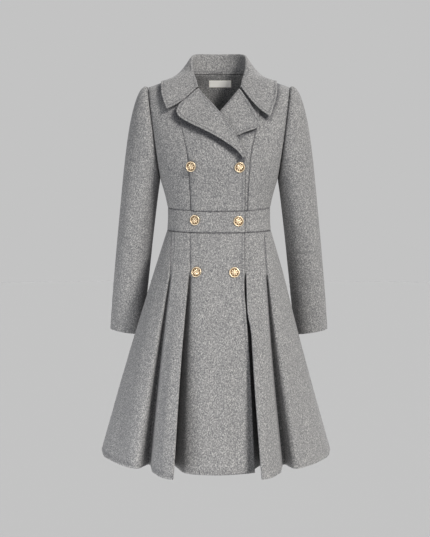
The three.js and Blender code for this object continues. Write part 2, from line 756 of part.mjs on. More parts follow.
function collar(right, left) {
  const flip = (p) => new THREE.Vector3(-p.x, p.y, p.z);
  const flipped = left.map((s) => ({
    visible: s.visible.map(flip),
    hidden: s.hidden.map(flip),
  }));
  const sections = [...flipped.slice(1).reverse(), ...right];
  const grid = right[0].visible.map((_, r) => sections.map((s) => s.visible[r]));
  const rows = thicken(grid);
  sections.forEach((section, c) => section.hidden.forEach((p, r) => rows[r][c].inner.copy(p)));
  return wall(rows);
}

// Lapels, as on the wearer's right: the outer edge of each row, and where the row
// starts on the edge of the front, counted in rows of innerEdge.
const rightLapel = {
  top: [{ x: -56, z: -49.5 }, { x: -66.8, z: -62.2 }, { x: -78, z: -72 }, { x: -88, z: -81 }, { x: -95, z: -91 }],
  rows: [
    { x: -100.2, z: -103.3, from: 3.14 },
    { x: -99, z: -112, from: 3.35 },
    { x: -91.5, z: -121.3, from: 3.75 },
    { x: -76.4, z: -130.7, from: 4.25 },
    { x: -57.2, z: -141.9, from: 5 },
    { x: -33.3, z: -154.1, from: 5.9 },
    { x: -9.5, z: -166.1, from: 6.7 },
    { x: 14.2, z: -180.5, from: 7.4 },
    { x: 37, z: -196.5, from: 8.1 },
    { x: 49, z: -208, from: 8.55 },
    { x: 54, z: -216.5, from: 9 },
  ],
};
const leftLapel = {
  top: [{ x: -57.5, z: -57.5 }, { x: -65.5, z: -71 }, { x: -72.5, z: -84 }, { x: -78.5, z: -96.5 }, { x: -84, z: -107 }],
  rows: [
    { x: -90, z: -118.5, from: 3.14 },
    { x: -96.8, z: -129.5, from: 3.4 },
    { x: -95.5, z: -141, from: 3.8 },
    { x: -82, z: -149.3, from: 4.3 },
    { x: -62.1, z: -154.5, from: 5 },
    { x: -42.9, z: -163.2, from: 5.8 },
    { x: -14.3, z: -177.7, from: 6.6 },
    { x: 16.6, z: -196.9, from: 7.4 },
    { x: 38, z: -209, from: 8.2 },
    { x: 47, z: -214, from: 8.8 },
  ],
};

// The lapel wraps round the edge of the front: heights over the front and distances
// past its edge, for the outer and inner face.
const lapelWrap = [
  { outerUp: 3.3, outerPast: -0.8, innerUp: 1, innerPast: -0.8 },
  { outerUp: 2.7, outerPast: 2, innerUp: 0.9, innerPast: 0.9 },
  { outerUp: 0.9, outerPast: 3.4, innerUp: 0.1, innerPast: 1.3 },
  { outerUp: -1.5, outerPast: 3.6, innerUp: -1.5, innerPast: 1.3 },
];

function lapel({ top, rows }, frames, liftAt) {
  const walls = rows.map(({ x, z, from }, k) => {
    const frame = frameAt(frames, from);
    const fold = frame.outer;
    const line = k === 0 ? [{ x, z }, ...top.slice().reverse()] : null;
    const flat = steps(0, 1, 6)
      .slice(0, -1)
      .map((u, i) => {
        const px = line ? line[i].x : mix(x, fold.x - 3 * frame.out.x, u);
        const pz = line ? line[i].z : mix(z, fold.z - 3 * frame.out.z, u);
        return onBody(px, pz, "front", liftAt(px, pz, 1 - u));
      });
    const wrapped = lapelWrap.map((w) => ({
      outer: fold.clone().addScaledVector(frame.normal, w.outerUp).addScaledVector(frame.out, w.outerPast),
      inner: fold.clone().addScaledVector(frame.normal, w.innerUp).addScaledVector(frame.out, w.innerPast),
    }));
    return [...flat, ...wrapped];
  });
  return wall(walls);
}

// The right lapel stands off the right front, most at its outer edge.
function rightLapelLift(x, z, u) {
  const ramp = 2.2 * layer * ease(-60, 0, x + read(innerEdge, "x", z));
  return cloth + 0.9 + Math.max(overlapLift(x, z), ramp) + 8 * u ** 1.4;
}

// The left lapel lies flat where the right front covers it.
function leftLapelLift(x, z, u) {
  const cover = -x - read(innerEdge, "x", z);
  return cloth + 0.8 + 6 * u ** 1.4 * ease(4, 40, cover);
}

// Buttons: a domed metal button with a raised rim, a sunken ring and a shank.
const buttonRadius = 12.6;
const shankHeight = 2.2;
const buttonProfile = [
  { r: 0, h: 0.3 },
  { r: 3, h: 0.3 },
  { r: 3, h: shankHeight },
  { r: 11, h: shankHeight + 0.3 },
  { r: buttonRadius, h: shankHeight + 1.8 },
  { r: 11.2, h: shankHeight + 3.6 },
  { r: 9.4, h: shankHeight + 3.9 },
  { r: 8, h: shankHeight + 2.8 },
  { r: 4.2, h: shankHeight + 4.2 },
  { r: 0, h: shankHeight + 4.8 },
];
const buttonSides = 12;
const buttons = [
  { name: "button_top_right", x: -66, z: -236, on: "bodice" },
  { name: "button_top_left", x: 48.7, z: -238, on: "bodice" },
  { name: "button_waist_right", x: -58, z: -364, on: "band" },
  { name: "button_waist_left", x: 46.4, z: -367, on: "band" },
  { name: "button_low_right", x: -54, z: -487, on: "skirt" },
  { name: "button_low_left", x: 36, z: -488, on: "skirt" },
];

// A ray from a point, and where it first meets a piece.
function hit(geometry, from, direction) {
  const mesh = new THREE.Mesh(geometry, new THREE.MeshBasicMaterial({ side: THREE.DoubleSide }));
  return new THREE.Raycaster(from, direction).intersectObject(mesh)[0].point;
}

// A button sits on the piece: square to it, and just clear of it all round.
function button({ x, z }, seat) {
  const inwards = new THREE.Vector3(0, 1, 0);
  const at = (dx, dz) => hit(seat, new THREE.Vector3(x + dx, -400, z + dz), inwards);
  const reach = 6;
  const normal = at(0, -reach).sub(at(0, reach)).cross(at(reach, 0).sub(at(-reach, 0))).normalize();
  const point = at(0, 0).addScaledVector(normal, seam);
  const profile = buttonProfile.map((p) => new THREE.Vector2(p.r, p.h));
  const geometry = new THREE.LatheGeometry(profile, buttonSides);
  geometry.applyQuaternion(
    new THREE.Quaternion().setFromUnitVectors(new THREE.Vector3(0, 1, 0), normal),
  );
  geometry.translate(point.x, point.y, point.z);
  return geometry;
}

// The right skirt front lies over the left one as far as its first pleat.
function skirtTuckAt(z) {
  return mix(skirtTuck.top, skirtTuck.hem, ease(-514, -700, z));
}

function skirtLift(x, z) {
  return layer * ease(-24, -9, x + read(innerEdge, "x", z) - skirtTuckAt(z));
}

// A plain woven label on the inside of the back, below the neck seam.
const label = { x: 3, z: -19, width: 57, height: 16.5, thick: 0.7, gap: 0.9 };

function neckLabel(seat) {
  const columns = [...steps(-label.width / 2, label.width / 2, 5)];
  const rows = steps(label.height / 2, -label.height / 2, 2).map((dz) =>
    columns.map((dx) => {
      const from = new THREE.Vector3(label.x + dx, 0, label.z + dz);
      const p = hit(seat, from, new THREE.Vector3(0, 1, 0));
      const normal = bodyNormal(p, "back").negate();
      return {
        outer: p.clone().addScaledVector(normal, label.gap + label.thick),
        inner: p.clone().addScaledVector(normal, label.gap),
      };
    }),
  );
  return wall(rows);
}

const wool = new THREE.MeshStandardMaterial({ color: 0x87888a, roughness: 0.95, metalness: 0 });
const gold = new THREE.MeshStandardMaterial({ color: 0xd9b27a, roughness: 0.35, metalness: 1 });
const cream = new THREE.MeshStandardMaterial({ color: 0xe9e4d8, roughness: 0.8, metalness: 0 });

const coat = new THREE.Group();
function add(name, geometry, material = wool) {
  const mesh = new THREE.Mesh(geometry, material);
  mesh.name = name;
  coat.add(mesh);
}

const rightFront = centreFront(true);
const leftFront = centreFront(false);
const back = centreBack();
const rightFrontWall = wall(rightFront);
const backWall = wall(back);
add("bodice_front_right_centre", rightFrontWall);
add("bodice_front_left_centre", mirrored(wall(leftFront)));
const frontSide = sidePanel("front", frontSeam);
add("bodice_front_right_side", frontSide);
add("bodice_front_left_side", mirrored(frontSide));
const backSide = sidePanel("back", backSeam);
add("bodice_back_right_side", backSide);
add("bodice_back_left_side", mirrored(backSide));
add("bodice_back_centre", backWall);

const quarterTurn = Math.PI / 2;
const sideGap = 0.0016;
const edgeTurn = turnAt(60.5, -364, "front");
const tuckedTurn = turnAt(60.5 - 1.5 * tuck, -364, "front");
const bandLift = (turn) =>
  layer * ease(-turnAt(68.5, -364, "front"), -turnAt(60, -364, "front"), turn);
const rightBand = waistband(-quarterTurn + sideGap, edgeTurn, 16, bandLift);
add("waistband_front_right", rightBand);
add("waistband_front_left", waistband(-tuckedTurn, quarterTurn - sideGap, 16, () => 0));
add("waistband_back", waistband(quarterTurn + sideGap, 3 * quarterTurn - sideGap, 16, () => 0));

const frontEdgeAt = (z) => read(innerEdge, "x", z);
const skirtRight = wall(skirtPiece("frontRight", "front", 8, frontEdgeAt, skirtLift));
add("skirt_front_right", skirtRight);
add(
  "skirt_front_left",
  wall(skirtPiece("frontLeft", "front", 8, (z) => skirtTuckAt(z) - frontEdgeAt(z), () => 0)),
);
add("skirt_back_right", wall(skirtPiece("backRight", "back", 4, () => 0, () => 0)));
add("skirt_back_left", wall(skirtPiece("backLeft", "back", 4, () => 0, () => 0)));

const armRight = sleeve();
add("sleeve_right", armRight);
add("sleeve_left", mirrored(armRight));

const rightFrames = frontEdgeFrames(rightFront);
const leftFrames = frontEdgeFrames(leftFront);
const backFramesLeft = backEdgeFrames(back);
const backFramesRight = backFramesLeft.map((frame) => {
  const flip = (v) => new THREE.Vector3(-v.x, v.y, v.z);
  return {
    outer: flip(frame.outer),
    inner: flip(frame.inner),
    normal: flip(frame.normal),
    out: flip(frame.out),
  };
});
add(
  "collar",
  collar(
    collarHalf(backFramesRight, rightFrames, collarFrontRight),
    collarHalf(backFramesRight, leftFrames, collarFrontLeft),
  ),
);
add("lapel_right", lapel(rightLapel, rightFrames, rightLapelLift));
add("lapel_left", mirrored(lapel(leftLapel, leftFrames, leftLapelLift)));

const seats = { bodice: rightFrontWall, band: rightBand, skirt: skirtRight };
for (const b of buttons) add(b.name, button(b, seats[b.on]), gold);
add("neck_label", neckLabel(backWall), cream);

export default coat;
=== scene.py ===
import bpy, math
import numpy as np
from mathutils import Matrix, Vector
from mathutils.bvhtree import BVHTree
from mathutils.kdtree import KDTree


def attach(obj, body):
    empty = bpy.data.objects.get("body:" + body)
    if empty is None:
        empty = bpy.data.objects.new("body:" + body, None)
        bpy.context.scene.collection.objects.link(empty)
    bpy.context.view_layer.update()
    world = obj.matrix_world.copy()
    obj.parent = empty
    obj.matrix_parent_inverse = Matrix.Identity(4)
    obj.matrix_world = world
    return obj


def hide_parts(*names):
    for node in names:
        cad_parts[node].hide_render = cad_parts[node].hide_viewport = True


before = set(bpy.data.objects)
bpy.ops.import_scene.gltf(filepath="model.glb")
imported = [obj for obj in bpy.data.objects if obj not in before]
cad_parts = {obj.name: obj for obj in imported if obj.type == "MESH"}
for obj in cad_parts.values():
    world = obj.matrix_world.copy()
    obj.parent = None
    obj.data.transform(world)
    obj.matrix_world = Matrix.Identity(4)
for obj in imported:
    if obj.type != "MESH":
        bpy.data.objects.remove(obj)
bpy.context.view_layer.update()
print("stage: frame loaded")

mm = 0.001
scene = bpy.context.scene
scene.view_settings.view_transform = "Standard"

# ---- camera: level with the upper waist, 2.6 m in front of the coat
cameraPlace = {
    "x": -0.010, "distance": 2.6, "height": -0.292,
    "tilt": 1.2,          # degrees down
    "focal": 1040 / 537,   # in lengths of the picture's long side
    "shiftUp": -56.7 / 537,
}
cameraData = bpy.data.cameras.new("camera")
cameraData.sensor_width = 36
cameraData.lens = 36 * cameraPlace["focal"]
cameraData.shift_y = cameraPlace["shiftUp"]
camera = bpy.data.objects.new("camera", cameraData)
scene.collection.objects.link(camera)
camera.location = (cameraPlace["x"], -cameraPlace["distance"], cameraPlace["height"])
camera.rotation_euler = (math.radians(90 - cameraPlace["tilt"]), 0, 0)
cameraData.clip_start, cameraData.clip_end = 0.05, 60
scene.camera = camera


# ---- small helpers
def selectOnly(piece):
    if bpy.context.object and bpy.context.object.mode != "OBJECT":
        bpy.ops.object.mode_set(mode="OBJECT")
    bpy.ops.object.select_all(action="DESELECT")
    piece.select_set(True)
    bpy.context.view_layer.objects.active = piece


def applyModifier(piece, kind, **values):
    selectOnly(piece)
    modifier = piece.modifiers.new(kind.lower(), kind)
    for key, value in values.items():
        setattr(modifier, key, value)
    bpy.ops.object.modifier_apply(modifier=modifier.name)


def readPoints(mesh):
    points = np.empty(len(mesh.vertices) * 3)
    mesh.vertices.foreach_get("co", points)
    return points.reshape(-1, 3)


def writePoints(mesh, points):
    mesh.vertices.foreach_set("co", points.ravel())
    mesh.update()


def pointNormals(mesh):
    normals = np.empty(len(mesh.vertices) * 3)
    mesh.vertex_normals.foreach_get("vector", normals)
    return normals.reshape(-1, 3)


def smoothStep(low, high, value):
    t = np.clip((value - low) / (high - low), 0, 1)
    return t * t * (3 - 2 * t)


# ---- cloth shells: each one a copy of its solid, rounded at its edges and made smooth
shell = {
    "merge": 0.02 * mm,
    "quadAngle": math.radians(50),
    "edgeAngle": math.radians(55),   # edges sharper than this are cut edges
    "edgeRound": 0.8 * mm,
    "seamReach": 2.3 * mm,           # cut edges nearer than this are sewn together
    "sampleStep": 1.0 * mm,
}

# piece, its solid, smoothing levels, its cut (width, length, area, in m), how it is held, and on what
clothRows = [
    ("frontRightCentre", "bodice_front_right_centre", 3, (0.19, 0.37, 0.041), "hung", "lapelRight"),
    ("frontLeftCentre", "bodice_front_left_centre", 2, (0.18, 0.37, 0.039), "hung", "lapelLeft"),
    ("frontRightSide", "bodice_front_right_side", 3, (0.15, 0.35, 0.0345), "hung", "collarCloth"),
    ("frontLeftSide", "bodice_front_left_side", 3, (0.15, 0.35, 0.0345), "hung", "collarCloth"),
    ("backRightSide", "bodice_back_right_side", 2, (0.15, 0.345, 0.036), "hung", "collarCloth"),
    ("backLeftSide", "bodice_back_left_side", 2, (0.15, 0.345, 0.036), "hung", "collarCloth"),
    ("backCentre", "bodice_back_centre", 2, (0.24, 0.35, 0.064), "hung", "collarCloth"),
    ("bandFrontRight", "waistband_front_right", 2, (0.235, 0.061, 0.0138), "hung", "frontRightCentre"),
    ("bandFrontLeft", "waistband_front_left", 2, (0.222, 0.061, 0.013), "hung", "frontLeftCentre"),
    ("bandBack", "waistband_back", 2, (0.375, 0.056, 0.0206), "hung", "backCentre"),
    ("skirtFrontRight", "skirt_front_right", 2, (0.72, 0.57, 0.305), "hung", "bandFrontRight"),
    ("skirtFrontLeft", "skirt_front_left", 2, (0.68, 0.57, 0.285), "hung", "bandFrontLeft"),
    ("skirtBackRight", "skirt_back_right", 2, (0.58, 0.57, 0.25), "hung", "bandBack"),
    ("skirtBackLeft", "skirt_back_left", 2, (0.58, 0.57, 0.25), "hung", "bandBack"),
    ("sleeveRight", "sleeve_right", 3, (0.36, 0.66, 0.168), "gathered", "frontRightSide"),
    ("sleeveLeft", "sleeve_left", 3, (0.36, 0.66, 0.168), "gathered", "frontLeftSide"),
    ("collarCloth", "collar", 3, (0.56, 0.17, 0.066), "folded", "backCentre"),
    ("lapelRight", "lapel_right", 3, (0.15, 0.19, 0.0128), "folded", "frontRightCentre"),
    ("lapelLeft", "lapel_left", 3, (0.15, 0.19, 0.0128), "folded", "frontLeftCentre"),
]
clothPieces = {row[0]: dict(zip(("node", "levels", "cut", "held", "rests"), row[1:])) for row in clothRows}


def copyNode(pieceName, nodeName):
    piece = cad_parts[nodeName].copy()
    piece.data = piece.data.copy()
    piece.parent = None
    for key in list(piece.keys()):
        del piece[key]
    piece.name = piece.data.name = pieceName
    piece.data.materials.clear()
    scene.collection.objects.link(piece)
    selectOnly(piece)
    bpy.ops.object.mode_set(mode="EDIT")
    bpy.ops.mesh.select_all(action="SELECT")
    bpy.ops.mesh.remove_doubles(threshold=shell["merge"])
    bpy.ops.mesh.tris_convert_to_quads(face_threshold=shell["quadAngle"], shape_threshold=math.pi)
    bpy.ops.mesh.select_all(action="DESELECT")
    bpy.ops.mesh.select_mode(type="EDGE")
    bpy.ops.mesh.edges_select_sharp(sharpness=shell["edgeAngle"])
    bpy.ops.object.mode_set(mode="OBJECT")
    return piece


def sampledEdges(piece):
    # points along the selected edges
    places = []
    points = piece.data.vertices
    for edge in piece.data.edges:
        if edge.select:
            a, b = (points[i].co for i in edge.vertices)
            count = max(1, math.ceil((b - a).length / shell["sampleStep"]))
            places += [a.lerp(b, k / count) for k in range(count + 1)]
    return places


def treeOf(places):
    tree = KDTree(max(1, len(places)))
    for i, place in enumerate(places or [Vector((9, 9, 9))]):
        tree.insert(place, i)
    tree.balance()
    return tree


cloth, cutEdges = {}, {}
for pieceName, facts in clothPieces.items():
    piece = copyNode(pieceName, facts["node"])
    cloth[pieceName] = piece
    cutEdges[pieceName] = sampledEdges(piece)
    bpy.ops.object.mode_set(mode="EDIT")
    bpy.ops.mesh.bevel(offset=shell["edgeRound"], segments=2, affect="EDGES", clamp_overlap=False)
    bpy.ops.object.mode_set(mode="OBJECT")
    applyModifier(piece, "SUBSURF", levels=facts["levels"], render_levels=facts["levels"])
    bpy.ops.object.shade_smooth()
print("stage: cloth shells", sum(len(p.data.polygons) for p in cloth.values()), "faces")

# which cut edges are sewn to a neighbour, and which are free
edgeTrees = {name: treeOf(places) for name, places in cutEdges.items()}
sewnTree, freeTree = {}, {}
for pieceName, places in cutEdges.items():
    others = [tree for name, tree in edgeTrees.items() if name != pieceName]
    sewn = [any(tree.find(p)[2] < shell["seamReach"] for tree in others) for p in places]
    sewnTree[pieceName] = treeOf([p for p, s in zip(places, sewn) if s])
    freeTree[pieceName] = treeOf([p for p, s in zip(places, sewn) if not s])
print("stage: seams found")


# ---- folds. Each is (points, width, height) in mm: its line as seen at the shoulders' plane from the camera,
# or from straight behind for the back, and how far it swells (+) or sinks (-)
folds = {
    "sleeve": {
        "front": [
            ([(-220, -142), (-228, -317), (-238, -492), (-242, -640)], 17, 1.6),
            ([(-166, -150), (-171, -317), (-184, -470)], 13, -1.8),
            ([(-162, -325), (-196, -336), (-230, -360)], 9, -2.4),
            ([(-168, -377), (-212, -396)], 8, -1.8),
            ([(-156, -240), (-202, -190)], 10, -1.6),
            ([(-186, -520), (-244, -566)], 10, -1.7),
            ([(-182, -460), (-216, -470)], 7, -1.0),
            ([(218, -142), (222, -317), (232, -492), (239, -640)], 17, 1.6),
            ([(160, -150), (166, -317), (182, -470)], 13, -1.8),
            ([(160, -340), (196, -322), (226, -312)], 9, -2.0),
            ([(168, -392), (222, -420)], 9, -2.2),
            ([(156, -262), (200, -210)], 10, -1.6),
            ([(180, -512), (236, -546)], 10, -1.6),
            ([(196, -600), (244, -590)], 9, -1.1),
        ],
        "back": [
            ([(-214, -150), (-222, -330), (-236, -500)], 18, 1.5),
            ([(-160, -300), (-214, -330)], 10, -2.2),
            ([(-236, -345), (-186, -372)], 9, -2.0),
            ([(-166, -430), (-214, -418)], 9, -1.6),
            ([(-190, -540), (-236, -560)], 10, -1.4),
            ([(212, -150), (220, -330), (232, -500)], 18, 1.5),
            ([(158, -310), (210, -326)], 10, -2.0),
            ([(236, -352), (182, -384)], 9, -2.2),
            ([(168, -446), (218, -424)], 9, -1.5),
            ([(188, -556), (236, -566)], 10, -1.4),
        ],
    },
    "bodice": {
        "front": [
            ([(-128, -292), (-84, -310)], 9, -1.2),
            ([(-132, -326), (-90, -335)], 7, -1.1),
            ([(-142, -194), (-98, -166)], 11, -1.3),
            ([(-34, -190), (-38, -255), (-30, -330)], 15, -0.9),
            ([(-12, -267), (32, -248)], 8, -0.7),
            ([(128, -282), (84, -306)], 9, -1.2),
            ([(124, -322), (80, -332)], 7, -1.0),
            ([(140, -190), (104, -170)], 11, -1.2),
        ],
        "back": [
            ([(-124, -286), (-60, -308)], 11, -1.5),
            ([(-120, -318), (-50, -330)], 8, -1.3),
            ([(126, -280), (70, -304)], 11, -1.4),
            ([(118, -314), (58, -332)], 8, -1.4),
            ([(-20, -300), (24, -306)], 9, -1.0),
            ([(-138, -190), (-84, -150)], 14, -1.6),
            ([(138, -196), (88, -158)], 14, -1.5),
            ([(-6, -60), (-4, -150), (-8, -250)], 16, 0.8),
        ],
    },
    "skirt": {
        "front": [
            ([(-108, -396), (-112, -440), (-120, -486)], 9, -2.2),
            ([(-86, -396), (-88, -505), (-108, -667), (-128, -817), (-142, -1010)], 11, 1.8),
            ([(-62, -396), (-60, -430), (-58, -470)], 8, -1.8),
            ([(-40, -430), (-38, -642), (-48, -867), (-52, -1040)], 17, 2.4),
            ([(-8, -560), (-6, -760), (-4, -1040)], 16, -1.6),
            ([(34, -600), (40, -800), (48, -1060)], 22, -3.0),
            ([(80, -396), (82, -450), (84, -510)], 9, 2.0),
            ([(98, -396), (99, -440), (98, -497)], 9, -2.2),
            ([(108, -620), (114, -817), (124, -1010)], 12, 1.8),
            ([(148, -600), (175, -817), (204, -1030)], 14, 3.0),
            ([(146, -440), (160, -540), (176, -640)], 12, -2.0),
            ([(196, -760), (224, -1000)], 17, -5.0),
            ([(-170, -600), (-202, -817), (-232, -1030)], 16, 3.0),
            ([(-138, -430), (-152, -540), (-166, -640)], 12, -2.0),
            ([(-236, -740), (-258, -1000)], 18, -5.0),
        ],
        "back": [
            ([(-104, -396), (-108, -440), (-116, -486)], 9, -2.2),
            ([(-82, -396), (-86, -505), (-104, -667), (-132, -1010)], 11, 1.8),
            ([(-30, -430), (-34, -700), (-46, -1040)], 18, 2.6),
            ([(6, -520), (10, -760), (8, -1040)], 18, -2.8),
            ([(44, -430), (46, -700), (60, -1040)], 16, 2.2),
            ([(84, -396), (86, -450), (88, -510)], 9, 2.0),
            ([(104, -396), (106, -440), (104, -497)], 9, -2.0),
            ([(152, -600), (182, -817), (212, -1030)], 15, 3.2),
            ([(206, -740), (236, -1000)], 18, -5.0),
            ([(-162, -600), (-196, -817), (-224, -1030)], 15, 3.2),
            ([(-226, -740), (-254, -1000)], 18, -5.0),
        ],
    },
}
# the stitched lines from the waistband to the top of each pleat, in mm as seen
pleatStitching = {
    "top": -380, "foot": -525, "wide": 1.6, "deep": 0.9,
    "front": [(-118, -123), (-73, -71), (112, 121)],   # how far across at the top and at the foot
    "back": [(-116, -121), (-72, -74), (72, 74), (116, 121)],
}
pleatLines = {
    side: [([(x, pleatStitching["top"]), (footX, pleatStitching["foot"])],
            pleatStitching["wide"], pleatStitching["deep"]) for x, footX in pleatStitching[side]]
    for side in ("front", "back")
}
# the left front's first pleat slides against the front edge over its top 13 cm, in mm as seen
firstPleat = {"slide": 7.5, "middle": 82, "wide": 19, "top": (-470, -505), "foot": (-655, -590)}
# which folds a piece takes, by how its name starts: the bands, the collar and the lapels take none
foldStarts = {"sleeve": "sleeve", "skirt": "skirt", "front": "bodice", "back": "bodice"}
foldGroup = {name: next((group for start, group in foldStarts.items() if name.startswith(start)), None)
             for name in clothPieces}
foldSide = {name: "back" if "back" in name.lower() else "front" for name in clothPieces}
foldFade = {"sleeveSides": (0.35, -0.35), "sideSeam": (0.004, 0.035)}   # m at the side seams


def asSeen(points, side):
    away = points[:, 1] * (-1 if side == "back" else 1)
    near = cameraPlace["distance"] / (cameraPlace["distance"] + away)
    height = cameraPlace["height"]
    return np.column_stack((points[:, 0] * near, height + (points[:, 2] - height) * near)) / mm


def foldHeights(places, table):
    total = np.zeros(len(places))
    for line, width, height in table:
        line = np.array(line, float)
        steps = np.linalg.norm(np.diff(line, axis=0), axis=1)
        nearest, along, start = np.full(len(places), 1e9), np.zeros(len(places)), 0.0
        for a, b, step in zip(line, line[1:], steps):
            share = np.clip((places - a) @ (b - a) / step**2, 0, 1)
            gap = np.linalg.norm(places - a - share[:, None] * (b - a), axis=1)
            closer = gap < nearest
            nearest[closer] = gap[closer]
            along[closer] = (start + share[closer] * step) / steps.sum()
            start += step
        ends = smoothStep(0, 0.3, along) * smoothStep(1, 0.7, along)
        total += height * ends * np.exp(-((nearest / width) ** 2))
    return total


# the middle of the left sleeve, from head to cuff, in mm
sleeveMiddle = np.array([
    (158, 0, -150), (166, 0, -151), (175, 1, -164), (181, 3, -184), (186, 5, -207), (191, 8, -240),
    (198, 15, -298), (208, 28, -384), (218, 47, -472), (229, 68, -564), (238, 89, -657)], float) * mm


def fromSleeveMiddle(points):
    # the way outwards from the sleeve's middle line, and how far along it
    hand = np.sign(points[:, :1].mean())
    line = sleeveMiddle * (hand, 1, 1)
    nearest, out, along = np.full(len(points), 1e9), np.zeros_like(points), np.zeros(len(points))
    for k, (a, b) in enumerate(zip(line, line[1:])):
        share = np.clip((points - a) @ (b - a) / ((b - a) @ (b - a)), 0, 1)
        away = points - a - share[:, None] * (b - a)
        gap = np.linalg.norm(away, axis=1)
        closer = gap < nearest
        nearest[closer], out[closer], along[closer] = gap[closer], away[closer], (k + share)[closer]
    return out / np.maximum(nearest, 1e-6)[:, None], along


for pieceName, piece in cloth.items():
    group = foldGroup[pieceName]
    if not group:
        continue
    points = readPoints(piece.data)
    if group == "sleeve":
        out, _ = fromSleeveMiddle(points)
        front = smoothStep(*foldFade["sleeveSides"], out[:, 1])
        rise = front * foldHeights(asSeen(points, "front"), folds[group]["front"])
        rise += (1 - front) * foldHeights(asSeen(points, "back"), folds[group]["back"])
    else:
        seen = asSeen(points, foldSide[pieceName])
        out = points * (1, 1.25, 0)   # outwards from the coat's oval
        out /= np.maximum(np.linalg.norm(out, axis=1), 1e-6)[:, None]
        rise = foldHeights(seen, folds[group][foldSide[pieceName]])
        if group == "skirt":
            rise -= foldHeights(seen, pleatLines[foldSide[pieceName]])
        rise *= smoothStep(*foldFade["sideSeam"], np.abs(points[:, 1]))   # none at the side seams
        if pieceName == "skirtFrontLeft":
            closed = smoothStep(*firstPleat["top"], seen[:, 1]) * smoothStep(*firstPleat["foot"], seen[:, 1])
            near = np.exp(-(((seen[:, 0] - firstPleat["middle"]) / firstPleat["wide"]) ** 2))
            points[:, 0] -= firstPleat["slide"] * mm * closed * near * (points[:, 1] < 0)
    writePoints(piece.data, points + out * (rise * mm)[:, None])
print("stage: folds")

# gathers at the sleeve heads: (degrees from the top towards the front, length in mm, depth in mm)
gathers = [(-64, 16, 1.2), (-50, 26, 1.9), (-39, 20, 1.5), (-27, 34, 2.3), (-15, 24, 1.7), (-4, 38, 2.5),
           (8, 27, 1.9), (19, 36, 2.4), (31, 22, 1.7), (42, 33, 2.3), (53, 20, 1.6), (66, 26, 1.5)]
gatherShape = {
    "width": 3.2, "armRadius": 85,                     # mm
    "slant": 0.25,                                     # degrees for each mm from the seam
    "ridge": 0.45, "ridgeAt": 6.5, "ridgeWidth": 3.4,  # the cloth pushed up beside each gather
    "headEnd": 5,                                      # in steps of the sleeve's middle line
}
for pieceName in ("sleeveRight", "sleeveLeft"):
    mesh = cloth[pieceName].data
    points = readPoints(mesh)
    out, along = fromSleeveMiddle(points)
    turn = np.degrees(np.arctan2(-out[:, 1], np.maximum(out[:, 2], -0.2)))
    near = np.flatnonzero((along < gatherShape["headEnd"]) & (points[:, 2] > -0.2))
    fromSeam = np.full(len(points), 99.0)
    fromSeam[near] = [sewnTree[pieceName].find(points[i])[2] / mm for i in near]
    sink = np.zeros(len(points))
    lean = 1 if "Right" in pieceName else -1
    for degrees, length, depth in gathers:
        across = np.radians(turn - degrees * lean - gatherShape["slant"] * fromSeam) * gatherShape["armRadius"]
        fade = smoothStep(length, length * 0.15, fromSeam)
        valley = np.exp(-((across / gatherShape["width"]) ** 2))
        ridges = np.exp(-(((np.abs(across) - gatherShape["ridgeAt"]) / gatherShape["ridgeWidth"]) ** 2))
        sink += depth * fade * (valley - gatherShape["ridge"] * ridges)
    writePoints(mesh, points - out * (sink * mm)[:, None])
print("stage: gathers")

# ---- seams pull in, and free edges swell a little with the turned-in cloth
seamShape = {
    "pull": 1.0, "reach": 2.8, "upTo": 9,      # mm
    "pucker": 0.3, "waves": (4.1, 2.7),        # share of the pull, and mm
    "mostOfWall": 0.36,                        # the share of the cloth's thickness that a seam may take
}
edgeShape = {
    "swell": 0.35, "at": 2.6, "swellWide": 2.4,            # mm
    "groove": 0.45, "stitchedAt": 6.0, "grooveWide": 1.7,
    "upTo": 10, "clearOfSeam": 4,
}
rolledEdges = ("collarCloth", "lapelRight", "lapelLeft", "frontRightCentre", "skirtFrontRight", "frontLeftCentre")


def wallBehind(tree, place, inwards):
    # the cloth's thickness behind a point of its face, or None on a cut edge
    hit, _, _, depth = tree.ray_cast(place + inwards * 0.3 * mm, inwards, 4.5 * mm)
    return None if hit is None else depth + 0.3 * mm


# free edges that stand off what they lie on: height and reach from the edge in mm, and which way
edgeLift = {
    "lapelRight": dict(height=3.2, reach=26, way=(-0.25, -1.0, 0.1)),
    "lapelLeft": dict(height=3.0, reach=34, way=(0.25, -1.0, 0.1)),
    "collarCloth": dict(height=2.0, reach=16, way=(0, -1.0, 0.25)),
}
liftFade = {"front": (-0.02, -0.07), "leftLapel": (0.062, 0.078)}   # m: the right front covers the rest of it
# painted shadow: cloth that lies in the shade of a free edge is darkened in its colour: the edge's piece, how much,
# and the mm where it starts to fade and ends
shadeUnder = {
    "frontRightCentre": [("lapelRight", 1.0, 10, 20)],
    "frontRightSide": [("lapelRight", 0.9, 10, 30), ("collarCloth", 0.5, 9, 24)],
    "frontLeftCentre": [("lapelLeft", 0.7, 8, 13), ("frontRightCentre", 0.9, 1.2, 4.2)],
    "frontLeftSide": [("collarCloth", 0.9, 9, 18)],
    "bandFrontLeft": [("bandFrontRight", 0.9, 1.2, 4.2)],
    "skirtFrontLeft": [("skirtFrontRight", 0.8, 1.2, 4.2)],
}
# painted shade: how much the wool's colour is darkened in seams, beside stitching and on the sleeves' inner side,
# from 0 to 1, and how wide, in mm
creaseShade = {
    "seam": 0.85, "seamWide": 1.7,
    "openSeam": 0.35, "openPieces": ("lapelRight", "lapelLeft", "collarCloth", "backCentre"),
    "stitching": 0.55, "stitchingWide": 1.5,
    "innerSleeve": {"sleeveRight": 0.5, "sleeveLeft": 0.05}, "innerFade": (0.1, 0.9),   # the side towards the body
}

